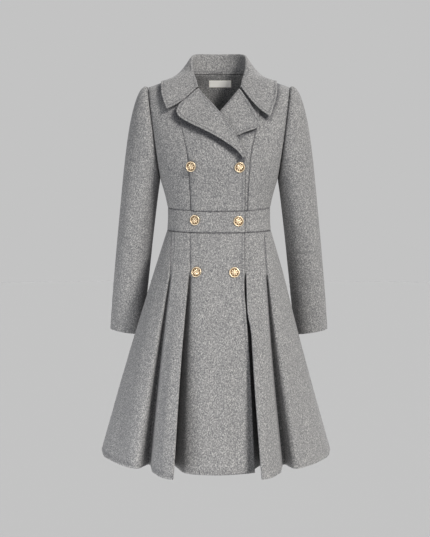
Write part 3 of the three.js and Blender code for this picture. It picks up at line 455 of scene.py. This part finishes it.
edgeGap = {}
for pieceName, piece in cloth.items():
    mesh = piece.data
    points, normals = readPoints(mesh), pointNormals(mesh)
    sewn, free = sewnTree[pieceName], freeTree[pieceName]
    shapeTree = BVHTree.FromObject(piece, bpy.context.evaluated_depsgraph_get())
    moved = points.copy()
    rolled = pieceName in rolledEdges
    edgeGap[pieceName] = gaps = np.full(len(points), 1.0)
    seamGap = np.full(len(points), 99.0)
    for i, place in enumerate(points):
        toSeam = sewn.find(place)[2] / mm
        toEdge = free.find(place)[2] / mm if rolled else 99
        gaps[i], seamGap[i] = toEdge, toSeam
        change = 0.0
        if toSeam < seamShape["upTo"]:
            along = place[2] / mm * 0.9 + place[0] / mm * 0.7
            long, short = (along / wave for wave in seamShape["waves"])
            pucker = 1 + seamShape["pucker"] * math.sin(long) * math.sin(short + 1.3)
            change -= seamShape["pull"] * pucker * math.exp(-((toSeam / seamShape["reach"]) ** 2))
        if toEdge < edgeShape["upTo"] and toSeam > edgeShape["clearOfSeam"]:
            fromSwell = (toEdge - edgeShape["at"]) / edgeShape["swellWide"]
            fromGroove = (toEdge - edgeShape["stitchedAt"]) / edgeShape["grooveWide"]
            change += edgeShape["swell"] * math.exp(-(fromSwell ** 2))
            change -= edgeShape["groove"] * math.exp(-(fromGroove ** 2))
        if abs(change) > 0.02:
            inwards = -Vector(normals[i])
            depth = wallBehind(shapeTree, Vector(place), inwards)
            if depth:
                moved[i] = place + normals[i] * max(change * mm, -seamShape["mostOfWall"] * depth)
    if pieceName in edgeLift:
        lift = edgeLift[pieceName]
        rise = lift["height"] * smoothStep(lift["reach"], 0, gaps) * smoothStep(*liftFade["front"], points[:, 1])
        if pieceName == "lapelLeft":
            rise *= smoothStep(*liftFade["leftLapel"], points[:, 0])
        moved += (rise * mm)[:, None] * np.array(lift["way"])
    writePoints(mesh, moved)
    # painted shade, kept in a point attribute: the colour is darker along seams, beside the edge stitching and the
    # pleats' stitched lines, on the sleeves' inner side towards the body, and under lifted free edges
    strength = creaseShade["openSeam" if pieceName in creaseShade["openPieces"] else "seam"]
    paintedShadeAmounts = strength * np.exp(-((seamGap / creaseShade["seamWide"]) ** 2))
    if rolled:
        away = (gaps - edgeShape["stitchedAt"]) / creaseShade["stitchingWide"]
        paintedShadeAmounts = np.maximum(paintedShadeAmounts, creaseShade["stitching"] * np.exp(-(away ** 2)))
    if foldGroup[pieceName] == "skirt":
        side = foldSide[pieceName]
        paintedShadeAmounts = np.maximum(paintedShadeAmounts, foldHeights(asSeen(points, side), pleatLines[side]))
    if foldGroup[pieceName] == "sleeve":
        out, _ = fromSleeveMiddle(points)
        inner = smoothStep(*creaseShade["innerFade"], -out[:, 0] * np.sign(points[:, 0]))
        paintedShadeAmounts = np.maximum(paintedShadeAmounts, creaseShade["innerSleeve"][pieceName] * inner)
    for other, most, near, far in shadeUnder.get(pieceName, []):
        reach = np.array([freeTree[other].find(place)[2] for place in points]) / mm
        paintedShadeAmounts = np.maximum(paintedShadeAmounts, most * smoothStep(far, near, reach))
    mesh.attributes.new("paintedShade", "FLOAT", "POINT").data.foreach_set("value", paintedShadeAmounts)
print("stage: seams and edges")


# ---- sewing
stitch = {
    "length": 2.7, "width": 0.62, "thick": 0.5, "pitch": 3.9,   # mm
    "lowest": -0.925,   # m: the front edge's row ends above the hem
    "shortestRow": 0.02,   # m
}
stitchedEdges = ("collarCloth", "lapelRight", "lapelLeft", "frontRightCentre", "skirtFrontRight")


def linesAt(piece, gaps, inset):
    # chains of (place, normal) over the piece at one distance from its free edges
    mesh = piece.data
    points, normals = readPoints(mesh), pointNormals(mesh)
    side = gaps < inset
    links = {}
    for face in mesh.polygons:
        corners = list(face.vertices)
        crossed = [(min(a, b), max(a, b)) for a, b in zip(corners, corners[1:] + corners[:1])
                   if side[a] != side[b]]
        if len(crossed) == 2:
            links.setdefault(crossed[0], []).append(crossed[1])
            links.setdefault(crossed[1], []).append(crossed[0])
    chains, used = [], set()
    for first in sorted(links, key=lambda k: (len(links[k]), k)):
        if first in used:
            continue
        chain, here = [], first
        while here is not None:
            used.add(here)
            a, b = here
            share = (inset - gaps[a]) / (gaps[b] - gaps[a])
            chain.append((points[a] + share * (points[b] - points[a]),
                          normals[a] + share * (normals[b] - normals[a])))
            here = next((k for k in links[here] if k not in used), None)
        chains.append(chain)
    return chains


def stitchPlaces(chain, pitch):
    places = np.array([c[0] for c in chain])
    ways = np.array([c[1] for c in chain])
    steps = np.linalg.norm(np.diff(places, axis=0), axis=1)
    run = np.concatenate(([0], np.cumsum(steps)))
    made = []
    if run[-1] < stitch["shortestRow"]:
        return made
    for s in np.arange(pitch / 2, run[-1] - pitch / 2, pitch):
        ahead, behind = s + stitch["length"] * mm / 2, s - stitch["length"] * mm / 2
        at = [np.array([np.interp(v, run, places[:, k]) for k in range(3)]) for v in (behind, s, ahead)]
        up = np.array([np.interp(s, run, ways[:, k]) for k in range(3)])
        made.append((at[1], at[2] - at[0], up))
    return made


def sewnPiece(name, places, size, material):
    # one stitch, modelled once and copied to every place into one mesh
    bpy.ops.object.select_all(action="DESELECT")
    bpy.ops.mesh.primitive_uv_sphere_add(segments=5, ring_count=3, radius=0.5, location=(0, 0, 0))
    model = bpy.context.object
    bpy.ops.transform.rotate(value=math.pi / 2, orient_axis="Y", center_override=(0, 0, 0))
    bpy.ops.object.transform_apply(rotation=True)
    shape = readPoints(model.data) * size
    faces = [tuple(f.vertices) for f in model.data.polygons]
    bpy.data.objects.remove(model)
    corners, allFaces = [], []
    for n, (place, along, up) in enumerate(places):
        x = along / np.linalg.norm(along)
        z = up - x * (up @ x)
        z /= np.linalg.norm(z)
        corners.append(place + shape @ np.array((x, np.cross(z, x), z)))
        allFaces += [tuple(i + n * len(shape) for i in f) for f in faces]
    mesh = bpy.data.meshes.new(name)
    mesh.from_pydata(np.concatenate(corners).tolist(), [], allFaces)
    mesh.materials.append(material)
    made = bpy.data.objects.new(name, mesh)
    scene.collection.objects.link(made)
    selectOnly(made)
    bpy.ops.object.mode_set(mode="EDIT")
    bpy.ops.mesh.select_all(action="SELECT")
    bpy.ops.mesh.normals_make_consistent(inside=False)
    bpy.ops.object.mode_set(mode="OBJECT")
    bpy.ops.object.shade_smooth()
    return made


# ---- materials
def newGroup(name, inputs, outputs):
    group = bpy.data.node_groups.new(name, "ShaderNodeTree")
    for socketName, kind, value in inputs:
        socket = group.interface.new_socket(socketName, in_out="INPUT", socket_type=kind)
        socket.default_value = value
    for socketName, kind in outputs:
        group.interface.new_socket(socketName, in_out="OUTPUT", socket_type=kind)
    return group, group.nodes.new("NodeGroupInput"), group.nodes.new("NodeGroupOutput")


def addNode(tree, kind, inputs=None, **values):
    node = tree.nodes.new(kind)
    for key, value in values.items():
        setattr(node, key, value)
    for key, value in (inputs or {}).items():
        if isinstance(value, bpy.types.NodeSocket):
            tree.links.new(value, node.inputs[key])
        else:
            node.inputs[key].default_value = value
    return node


def mixColours(tree, factor, a, b, blend="MIX"):
    node = tree.nodes.new("ShaderNodeMix")
    node.data_type, node.blend_type = "RGBA", blend
    for index, value in ((0, factor), (6, a), (7, b)):
        if isinstance(value, bpy.types.NodeSocket):
            tree.links.new(value, node.inputs[index])
        else:
            node.inputs[index].default_value = value
    return node.outputs[2]


def mathNode(tree, operation, a, b=0.0, clamp=False):
    node = tree.nodes.new("ShaderNodeMath")
    node.operation, node.use_clamp = operation, clamp
    for index, value in enumerate((a, b)):
        if isinstance(value, bpy.types.NodeSocket):
            tree.links.new(value, node.inputs[index])
        else:
            node.inputs[index].default_value = value
    return node.outputs[0]


def melangeGroup():
    # salt and pepper fibres: short flecks of light and dark wool over a mid grey
    group, start, end = newGroup(
        "melange",
        [("Fleck Size", "NodeSocketFloat", 3.0), ("Dark", "NodeSocketColor", (0.1, 0.1, 0.11, 1)),
         ("Middle", "NodeSocketColor", (0.25, 0.25, 0.26, 1)), ("Light", "NodeSocketColor", (0.5, 0.5, 0.5, 1)),
         ("Contrast", "NodeSocketFloat", 1.0)],
        [("Colour", "NodeSocketColor"), ("Height", "NodeSocketFloat")],
    )
    place = addNode(group, "ShaderNodeTexCoord")
    scale = mathNode(group, "DIVIDE", 1000.0, start.outputs["Fleck Size"])
    # three layers of fleck, each stretched along its own direction
    layers = (((0.3, 0.5, 0.75), (1, 1, 0.62)), ((-0.4, 0.2, -0.8), (1, 1, 0.6)), ((0.1, -0.3, 0.1), (0.7, 1, 1)))
    total = 0.0
    for k, (turn, stretch) in enumerate(layers):
        turned = addNode(group, "ShaderNodeMapping", {
            "Vector": place.outputs["Object"], "Rotation": turn, "Scale": stretch,
            "Location": (k * 3.1, k * 1.7, k * 0.9)})
        noise = addNode(group, "ShaderNodeTexNoise", {
            "Vector": turned.outputs["Vector"], "Scale": scale, "Detail": 1.5, "Roughness": 0.8})
        total = mathNode(group, "ADD", noise.outputs["Fac"], total)
    centred = mathNode(group, "MULTIPLY", mathNode(group, "SUBTRACT", total, 1.5), start.outputs["Contrast"])
    dark = mathNode(group, "MULTIPLY", centred, -2.4, clamp=True)
    light = mathNode(group, "MULTIPLY", centred, 2.4, clamp=True)
    colour = mixColours(group, dark, start.outputs["Middle"], start.outputs["Dark"])
    colour = mixColours(group, light, colour, start.outputs["Light"])
    # slow drift of tone over the cloth
    drift = addNode(group, "ShaderNodeTexNoise", {"Vector": place.outputs["Object"], "Scale": 28.0, "Detail": 3.0})
    tone = mathNode(group, "ADD", mathNode(group, "MULTIPLY", drift.outputs["Fac"], 0.10), 0.95)
    grey = addNode(group, "ShaderNodeCombineColor", {"Red": tone, "Green": tone, "Blue": tone})
    colour = mixColours(group, 1.0, colour, grey.outputs["Color"], "MULTIPLY")
    fine = addNode(group, "ShaderNodeTexNoise", {
        "Vector": place.outputs["Object"], "Scale": 1500.0, "Detail": 3.0, "Roughness": 0.7})
    height = mathNode(group, "ADD", mathNode(group, "MULTIPLY", centred, 0.5),
                      mathNode(group, "MULTIPLY", fine.outputs["Fac"], 0.5))
    group.links.new(colour, end.inputs["Colour"])
    group.links.new(height, end.inputs["Height"])
    return group


def newMaterial(name):
    material = bpy.data.materials.new(name)
    material.use_nodes = True
    tree = material.node_tree
    tree.nodes.clear()
    surface = tree.nodes.new("ShaderNodeBsdfPrincipled")
    out = tree.nodes.new("ShaderNodeOutputMaterial")
    tree.links.new(surface.outputs["BSDF"], out.inputs["Surface"])
    return material, tree, surface


melange = melangeGroup()
woolLook = {
    "fleck": 2.35, "contrast": 0.9,
    "dark": (0.076, 0.077, 0.088, 1), "middle": (0.236, 0.233, 0.232, 1), "light": (0.56, 0.548, 0.525, 1),
    "nap": 0.35, "napHeight": 0.6 * mm, "sheen": 0.12, "sheenRoughness": 0.55, "roughness": 0.92, "gloss": 0.2,
    "shade": (0.36, 0.36, 0.39, 1),   # the colour of the painted shade in seams and deep places
    "deepReach": 60 * mm, "deepFrom": 0.8, "deepShare": 0.5,
}


def woolMaterial():
    material, tree, surface = newMaterial("greyMelangeWool")
    flecks = addNode(tree, "ShaderNodeGroup", node_tree=melange)
    for socket, key in (("Fleck Size", "fleck"), ("Contrast", "contrast"), ("Dark", "dark"),
                        ("Middle", "middle"), ("Light", "light")):
        flecks.inputs[socket].default_value = woolLook[key]
    # painted shade: seam lines, cloth beside lifted edges and the sleeves' inner side are darkened from the point
    # attribute, and deep places from ambient occlusion
    paintedShade = addNode(tree, "ShaderNodeAttribute", attribute_name="paintedShade")
    depths = addNode(tree, "ShaderNodeAmbientOcclusion", {"Distance": woolLook["deepReach"]}, samples=6)
    deep = mathNode(tree, "SUBTRACT", woolLook["deepFrom"], depths.outputs["AO"])
    deep = mathNode(tree, "MULTIPLY", deep, woolLook["deepShare"], clamp=True)
    shade = mathNode(tree, "MAXIMUM", paintedShade.outputs["Fac"], deep)
    dim = mixColours(tree, shade, (1, 1, 1, 1), woolLook["shade"])
    tree.links.new(mixColours(tree, 1.0, flecks.outputs["Colour"], dim, "MULTIPLY"), surface.inputs["Base Color"])
    surface.inputs["Roughness"].default_value = woolLook["roughness"]
    surface.inputs["Specular IOR Level"].default_value = woolLook["gloss"]
    surface.inputs["Sheen Weight"].default_value = woolLook["sheen"]
    surface.inputs["Sheen Roughness"].default_value = woolLook["sheenRoughness"]
    bump = addNode(tree, "ShaderNodeBump", {
        "Height": flecks.outputs["Height"], "Strength": woolLook["nap"], "Distance": woolLook["napHeight"]})
    tree.links.new(bump.outputs["Normal"], surface.inputs["Normal"])
    return material


wool = woolMaterial()


goldLook = {
    "dull": (0.89, 0.69, 0.45, 1), "bright": (0.97, 0.82, 0.60, 1), "recessDark": (0.22, 0.14, 0.075, 1),
    "roughness": 0.36, "mottledBy": 0.12, "recessRoughBy": 0.25,
}


def goldMaterial():
    material, tree, surface = newMaterial("lightGold")
    place = addNode(tree, "ShaderNodeTexCoord")
    mottle = addNode(tree, "ShaderNodeTexNoise", {"Vector": place.outputs["Object"], "Scale": 420.0, "Detail": 4.0})
    bright = mixColours(tree, mottle.outputs["Fac"], goldLook["dull"], goldLook["bright"])
    # darker brown and rougher in the button's low places inside its rim
    recessDark = addNode(tree, "ShaderNodeAttribute", attribute_name="recessDark")
    colour = mixColours(tree, recessDark.outputs["Fac"], bright, goldLook["recessDark"])
    tree.links.new(colour, surface.inputs["Base Color"])
    surface.inputs["Metallic"].default_value = 1.0
    mottled = mathNode(tree, "MULTIPLY", mottle.outputs["Fac"], goldLook["mottledBy"])
    rough = mathNode(tree, "ADD", mottled, goldLook["roughness"])
    rough = mathNode(tree, "ADD", mathNode(tree, "MULTIPLY", recessDark.outputs["Fac"], goldLook["recessRoughBy"]), rough)
    tree.links.new(rough, surface.inputs["Roughness"])
    bump = addNode(tree, "ShaderNodeBump", {"Height": mottle.outputs["Fac"], "Strength": 0.12, "Distance": 0.2 * mm})
    tree.links.new(bump.outputs["Normal"], surface.inputs["Normal"])
    return material


gold = goldMaterial()


labelLook = {
    "deep": (0.96, 0.93, 0.87, 1), "pale": (1.0, 0.985, 0.93, 1),
    "paintedLight": (1.0, 0.96, 0.9, 1), "paintedLightStrength": 0.12,   # painted light: a faint emission that brightens the label in the shaded neck
}


def labelMaterial():
    material, tree, surface = newMaterial("creamLabel")
    place = addNode(tree, "ShaderNodeTexCoord")
    weave = addNode(tree, "ShaderNodeTexWave", {
        "Vector": place.outputs["Object"], "Scale": 900.0, "Distortion": 0.6, "Detail": 1.0}, bands_direction="Z")
    colour = mixColours(tree, weave.outputs["Fac"], labelLook["deep"], labelLook["pale"])
    tree.links.new(colour, surface.inputs["Base Color"])
    surface.inputs["Roughness"].default_value = 0.6
    surface.inputs["Sheen Weight"].default_value = 0.2
    # painted light: the label glows a little, though it is no lamp, so it shows pale in the shade inside the neck
    surface.inputs["Emission Color"].default_value = labelLook["paintedLight"]
    surface.inputs["Emission Strength"].default_value = labelLook["paintedLightStrength"]
    bump = addNode(tree, "ShaderNodeBump", {"Height": weave.outputs["Fac"], "Strength": 0.2, "Distance": 0.1 * mm})
    tree.links.new(bump.outputs["Normal"], surface.inputs["Normal"])
    return material


creamLabel = labelMaterial()


def threadMaterial(name, pale, deep):
    material, tree, surface = newMaterial(name)
    place = addNode(tree, "ShaderNodeTexCoord")
    twist = addNode(tree, "ShaderNodeTexNoise", {"Vector": place.outputs["Object"], "Scale": 2400.0, "Detail": 2.0})
    tree.links.new(mixColours(tree, twist.outputs["Fac"], deep, pale), surface.inputs["Base Color"])
    surface.inputs["Roughness"].default_value = 0.7
    bump = addNode(tree, "ShaderNodeBump", {"Height": twist.outputs["Fac"], "Strength": 0.3, "Distance": 0.1 * mm})
    tree.links.new(bump.outputs["Normal"], surface.inputs["Normal"])
    return material


greyThread = threadMaterial("greyThread", (0.42, 0.42, 0.42, 1), (0.16, 0.16, 0.165, 1))
creamThread = threadMaterial("creamThread", (0.86, 0.83, 0.76, 1), (0.5, 0.47, 0.42, 1))

for piece in cloth.values():
    piece.data.materials.append(wool)
print("stage: materials")


# ---- buttons
button = {
    "radius": 11.9, "sides": 72,
    # the profile from the back of the edge to the middle of the face: (radius, height), in mm
    "profile": [(12.5, 0.9), (12.6, 1.6), (12.3, 2.4), (11.7, 2.9), (10.9, 3.0), (10.2, 2.7), (9.7, 1.9), (9.4, 1.3),
                (8.8, 1.15), (8.2, 1.3), (7.6, 1.7), (6.9, 2.0), (6.0, 2.3), (5.0, 2.5), (4.0, 2.6), (3.3, 2.4),
                (2.7, 2.0), (2.1, 2.2), (1.5, 2.7), (0.7, 2.9)],
    "petals": 8, "relief": 0.55, "bulge": 0.035,   # mm, and a share of the radius
    "petalStart": (2.3, 3.6), "petalEnd": (8.9, 7.4), "bulgeEnd": (9.6, 8.4),   # mm from the middle
    "recessDarkBelow": (2.5, 1.3), "recessDarkWithin": 10.4, "back": 0.8,         # mm
    "topRightShank": 1.6, "topRightTurn": (0, -0.6, 0),   # it hangs a little off the cloth and turns to the front
}


def buttonShape():
    bpy.ops.object.select_all(action="DESELECT")
    bpy.ops.mesh.primitive_circle_add(vertices=button["sides"], radius=button["radius"] * mm, fill_type="NGON",
                                      location=(0, 0, 0.3 * mm))
    made = bpy.context.object
    bpy.ops.object.transform_apply(location=True)
    bpy.ops.object.mode_set(mode="EDIT")
    bpy.ops.mesh.select_mode(type="FACE")
    bpy.ops.mesh.select_all(action="SELECT")
    radius, height = button["radius"], 0.3
    for wide, high in button["profile"]:
        bpy.ops.mesh.extrude_region_move(TRANSFORM_OT_translate={"value": (0, 0, (high - height) * mm)})
        bpy.ops.transform.resize(value=(wide / radius, wide / radius, 1), center_override=(0, 0, high * mm))
        radius, height = wide, high
    bpy.ops.mesh.select_all(action="SELECT")
    bpy.ops.mesh.normals_make_consistent(inside=False)
    bpy.ops.object.mode_set(mode="OBJECT")
    # a plain rosette of petals round the middle
    points = readPoints(made.data)
    away = np.hypot(points[:, 0], points[:, 1]) / mm
    turn = np.arctan2(points[:, 1], points[:, 0])
    ring = smoothStep(*button["petalEnd"], away) * smoothStep(*button["petalStart"], away)
    petals = np.cos(button["petals"] * turn)
    points[:, 2] += ring * petals * button["relief"] * mm
    bulge = smoothStep(*button["bulgeEnd"], away) * smoothStep(*button["petalStart"], away)
    points[:, :2] *= (1 + button["bulge"] * bulge * petals)[:, None]
    writePoints(made.data, points)
    # a share from 0 to 1 that is high in the low places of the face inside the rim
    low = smoothStep(*button["recessDarkBelow"], points[:, 2] / mm)
    low = low * (away < button["recessDarkWithin"]) * (points[:, 2] > button["back"] * mm)
    made.data.attributes.new("recessDark", "FLOAT", "POINT").data.foreach_set("value", low)
    selectOnly(made)
    bpy.ops.object.shade_smooth()
    return made


def buttonPose(nodeName):
    # foot and outward axis of a solid button, from its own points
    points = np.unique(readPoints(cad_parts[nodeName].data).round(6), axis=0)
    centre = points.mean(0)
    axis = np.linalg.svd(points - centre)[2][2]
    if axis[1] > 0:
        axis = -axis
    depth = (points - centre) @ axis
    middle = (points[depth > depth.max() - 0.4 * mm]).mean(0)
    return Vector(middle - axis * (((middle - centre) @ axis) - depth.min())), Vector(axis)


buttonModel = buttonShape()
buttonNodes = {
    "buttonTopRight": "button_top_right", "buttonTopLeft": "button_top_left",
    "buttonWaistRight": "button_waist_right", "buttonWaistLeft": "button_waist_left",
    "buttonLowRight": "button_low_right", "buttonLowLeft": "button_low_left",
}
buttons = {}
for name, node in buttonNodes.items():
    copy = buttonModel.copy()
    copy.data = buttonModel.data.copy()
    copy.name = copy.data.name = name
    scene.collection.objects.link(copy)
    foot, axis = buttonPose(node)
    if name == "buttonTopRight":
        foot = foot + axis * button["topRightShank"] * mm
        axis = (axis + Vector(button["topRightTurn"])).normalized()
    copy.data.transform(Matrix.Translation(foot) @ axis.to_track_quat("Z", "Y").to_matrix().to_4x4())
    copy.data.materials.append(gold)
    buttons[name] = copy
bpy.data.objects.remove(buttonModel)
print("stage: buttons")

# ---- neck label
label = copyNode("neckLabel", "neck_label")
applyModifier(label, "SUBSURF", subdivision_type="SIMPLE", levels=2, render_levels=2)
label.data.materials.append(creamLabel)

# ---- sewing along the collar, lapels and front edge, and at the label's ends
edgeStitches = []
for pieceName in stitchedEdges:
    for chain in linesAt(cloth[pieceName], edgeGap[pieceName], edgeShape["stitchedAt"]):
        kept = [c for c in chain if c[0][2] > stitch["lowest"] or pieceName != "skirtFrontRight"]
        edgeStitches += stitchPlaces(kept, stitch["pitch"] * mm) if len(kept) > 3 else []
stitchSize = np.array((stitch["length"], stitch["width"], stitch["thick"])) * mm
topstitching = sewnPiece("topstitching", edgeStitches, stitchSize, greyThread)
labelStitch = {"size": (1.5, 0.45, 0.4), "inset": 1.6, "pitch": 2.3, "end": 1.4, "lift": 0.1}   # mm
labelPoints = readPoints(label.data)
low, high = labelPoints.min(0), labelPoints.max(0)
labelStitches = []
inset = labelStitch["inset"] * mm
for x in (low[0] + inset, high[0] - inset):
    for z in np.arange(low[2] + inset, high[2] - labelStitch["end"] * mm, labelStitch["pitch"] * mm):
        near = labelPoints[np.argsort(np.hypot(labelPoints[:, 0] - x, labelPoints[:, 2] - z))[:12]]
        place = np.array((x, near[:, 1].min() - labelStitch["lift"] * mm, z))
        labelStitches.append((place, np.array((0, 0, 1.0)), np.array((0, -1.0, 0))))
labelSewing = sewnPiece("labelSewing", labelStitches, np.array(labelStitch["size"]) * mm, creamThread)
print("stage: sewing", len(edgeStitches), "stitches")

# ---- every piece hangs from the root, with its solid hidden
for name, piece in cloth.items():
    facts = clothPieces[name]
    width, length, area = facts["cut"]
    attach(piece, "root")
    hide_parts(facts["node"])
for name, piece in buttons.items():
    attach(piece, "root")
    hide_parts(buttonNodes[name])
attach(label, "root")
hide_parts("neck_label")
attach(topstitching, "root")
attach(labelSewing, "root")

# ---- floor and light
studio = {
    "floor": -4.0, "size": 40.0, "backdrop": 0.546,
    "air": 0.26,           # light from all round
    "airTint": (0.90, 0.935, 1.0),
    # a soft box low on the viewer's left
    "box": dict(place=(-1.05, -0.8, -1.15), aim=(-0.2, 0, -0.8), size=0.8, watts=8.5, tint=(0.96, 0.975, 1.0)),
}
# name: (azimuth from the front towards the viewer's right, elevation, strength, spread in degrees, tint)
lamps = {
    "key": (40, 33, 3.12, 13, (1.0, 0.982, 0.95)),
    "fill": (-30, 6, 0.3, 34, (0.94, 0.965, 1.0)),
    "back": (170, 40, 1.9, 40, (1.0, 1.0, 1.0)),
}
onFloor = studio["air"] * np.array(studio["airTint"])
for name, (azimuth, elevation, strength, spread, tint) in lamps.items():
    lamp = bpy.data.lights.new(name, "SUN")
    lamp.energy, lamp.angle, lamp.color = strength, math.radians(spread), tint
    holder = bpy.data.objects.new(name, lamp)
    scene.collection.objects.link(holder)
    a, e = math.radians(azimuth), math.radians(elevation)
    aim = Vector((math.sin(a) * math.cos(e), -math.cos(a) * math.cos(e), math.sin(e)))
    holder.rotation_euler = aim.to_track_quat("Z", "Y").to_euler()
    onFloor += strength * math.sin(e) / math.pi * np.array(tint)

softBox = bpy.data.lights.new("softBox", "AREA")
box = studio["box"]
softBox.energy, softBox.size, softBox.color = box["watts"], box["size"], box["tint"]
holder = bpy.data.objects.new("softBox", softBox)
scene.collection.objects.link(holder)
holder.location = box["place"]
holder.rotation_euler = (holder.location - Vector(box["aim"])).to_track_quat("Z", "Y").to_euler()

bpy.ops.object.select_all(action="DESELECT")
bpy.ops.mesh.primitive_circle_add(vertices=96, radius=studio["size"], fill_type="NGON",
                                  location=(0, 0, studio["floor"]))
floor = bpy.context.object
floor.name = "floor"
bpy.ops.object.transform_apply(location=True)
floorMaterial, floorTree, floorSurface = newMaterial("paleFloor")
floorPale = studio["backdrop"] / onFloor   # the floor comes out as pale as the backdrop
floorSurface.inputs["Base Color"].default_value = (*floorPale, 1)
floorSurface.inputs["Roughness"].default_value = 1.0
floorSurface.inputs["Specular IOR Level"].default_value = 0.0
floor.data.materials.append(floorMaterial)

world = bpy.data.worlds.new("studio")
scene.world = world
world.use_nodes = True
worldTree = world.node_tree
backdrop = worldTree.nodes["Background"]
backdrop.inputs["Color"].default_value = (studio["backdrop"],) * 3 + (1,)
airColour = tuple(studio["air"] * c for c in studio["airTint"]) + (1,)
air = addNode(worldTree, "ShaderNodeBackground", {"Color": airColour})
rays = worldTree.nodes.new("ShaderNodeLightPath")
either = worldTree.nodes.new("ShaderNodeMixShader")
worldTree.links.new(rays.outputs["Is Camera Ray"], either.inputs[0])
worldTree.links.new(air.outputs[0], either.inputs[1])
worldTree.links.new(backdrop.outputs[0], either.inputs[2])
worldTree.links.new(either.outputs[0], worldTree.nodes["World Output"].inputs["Surface"])
print("stage: studio")
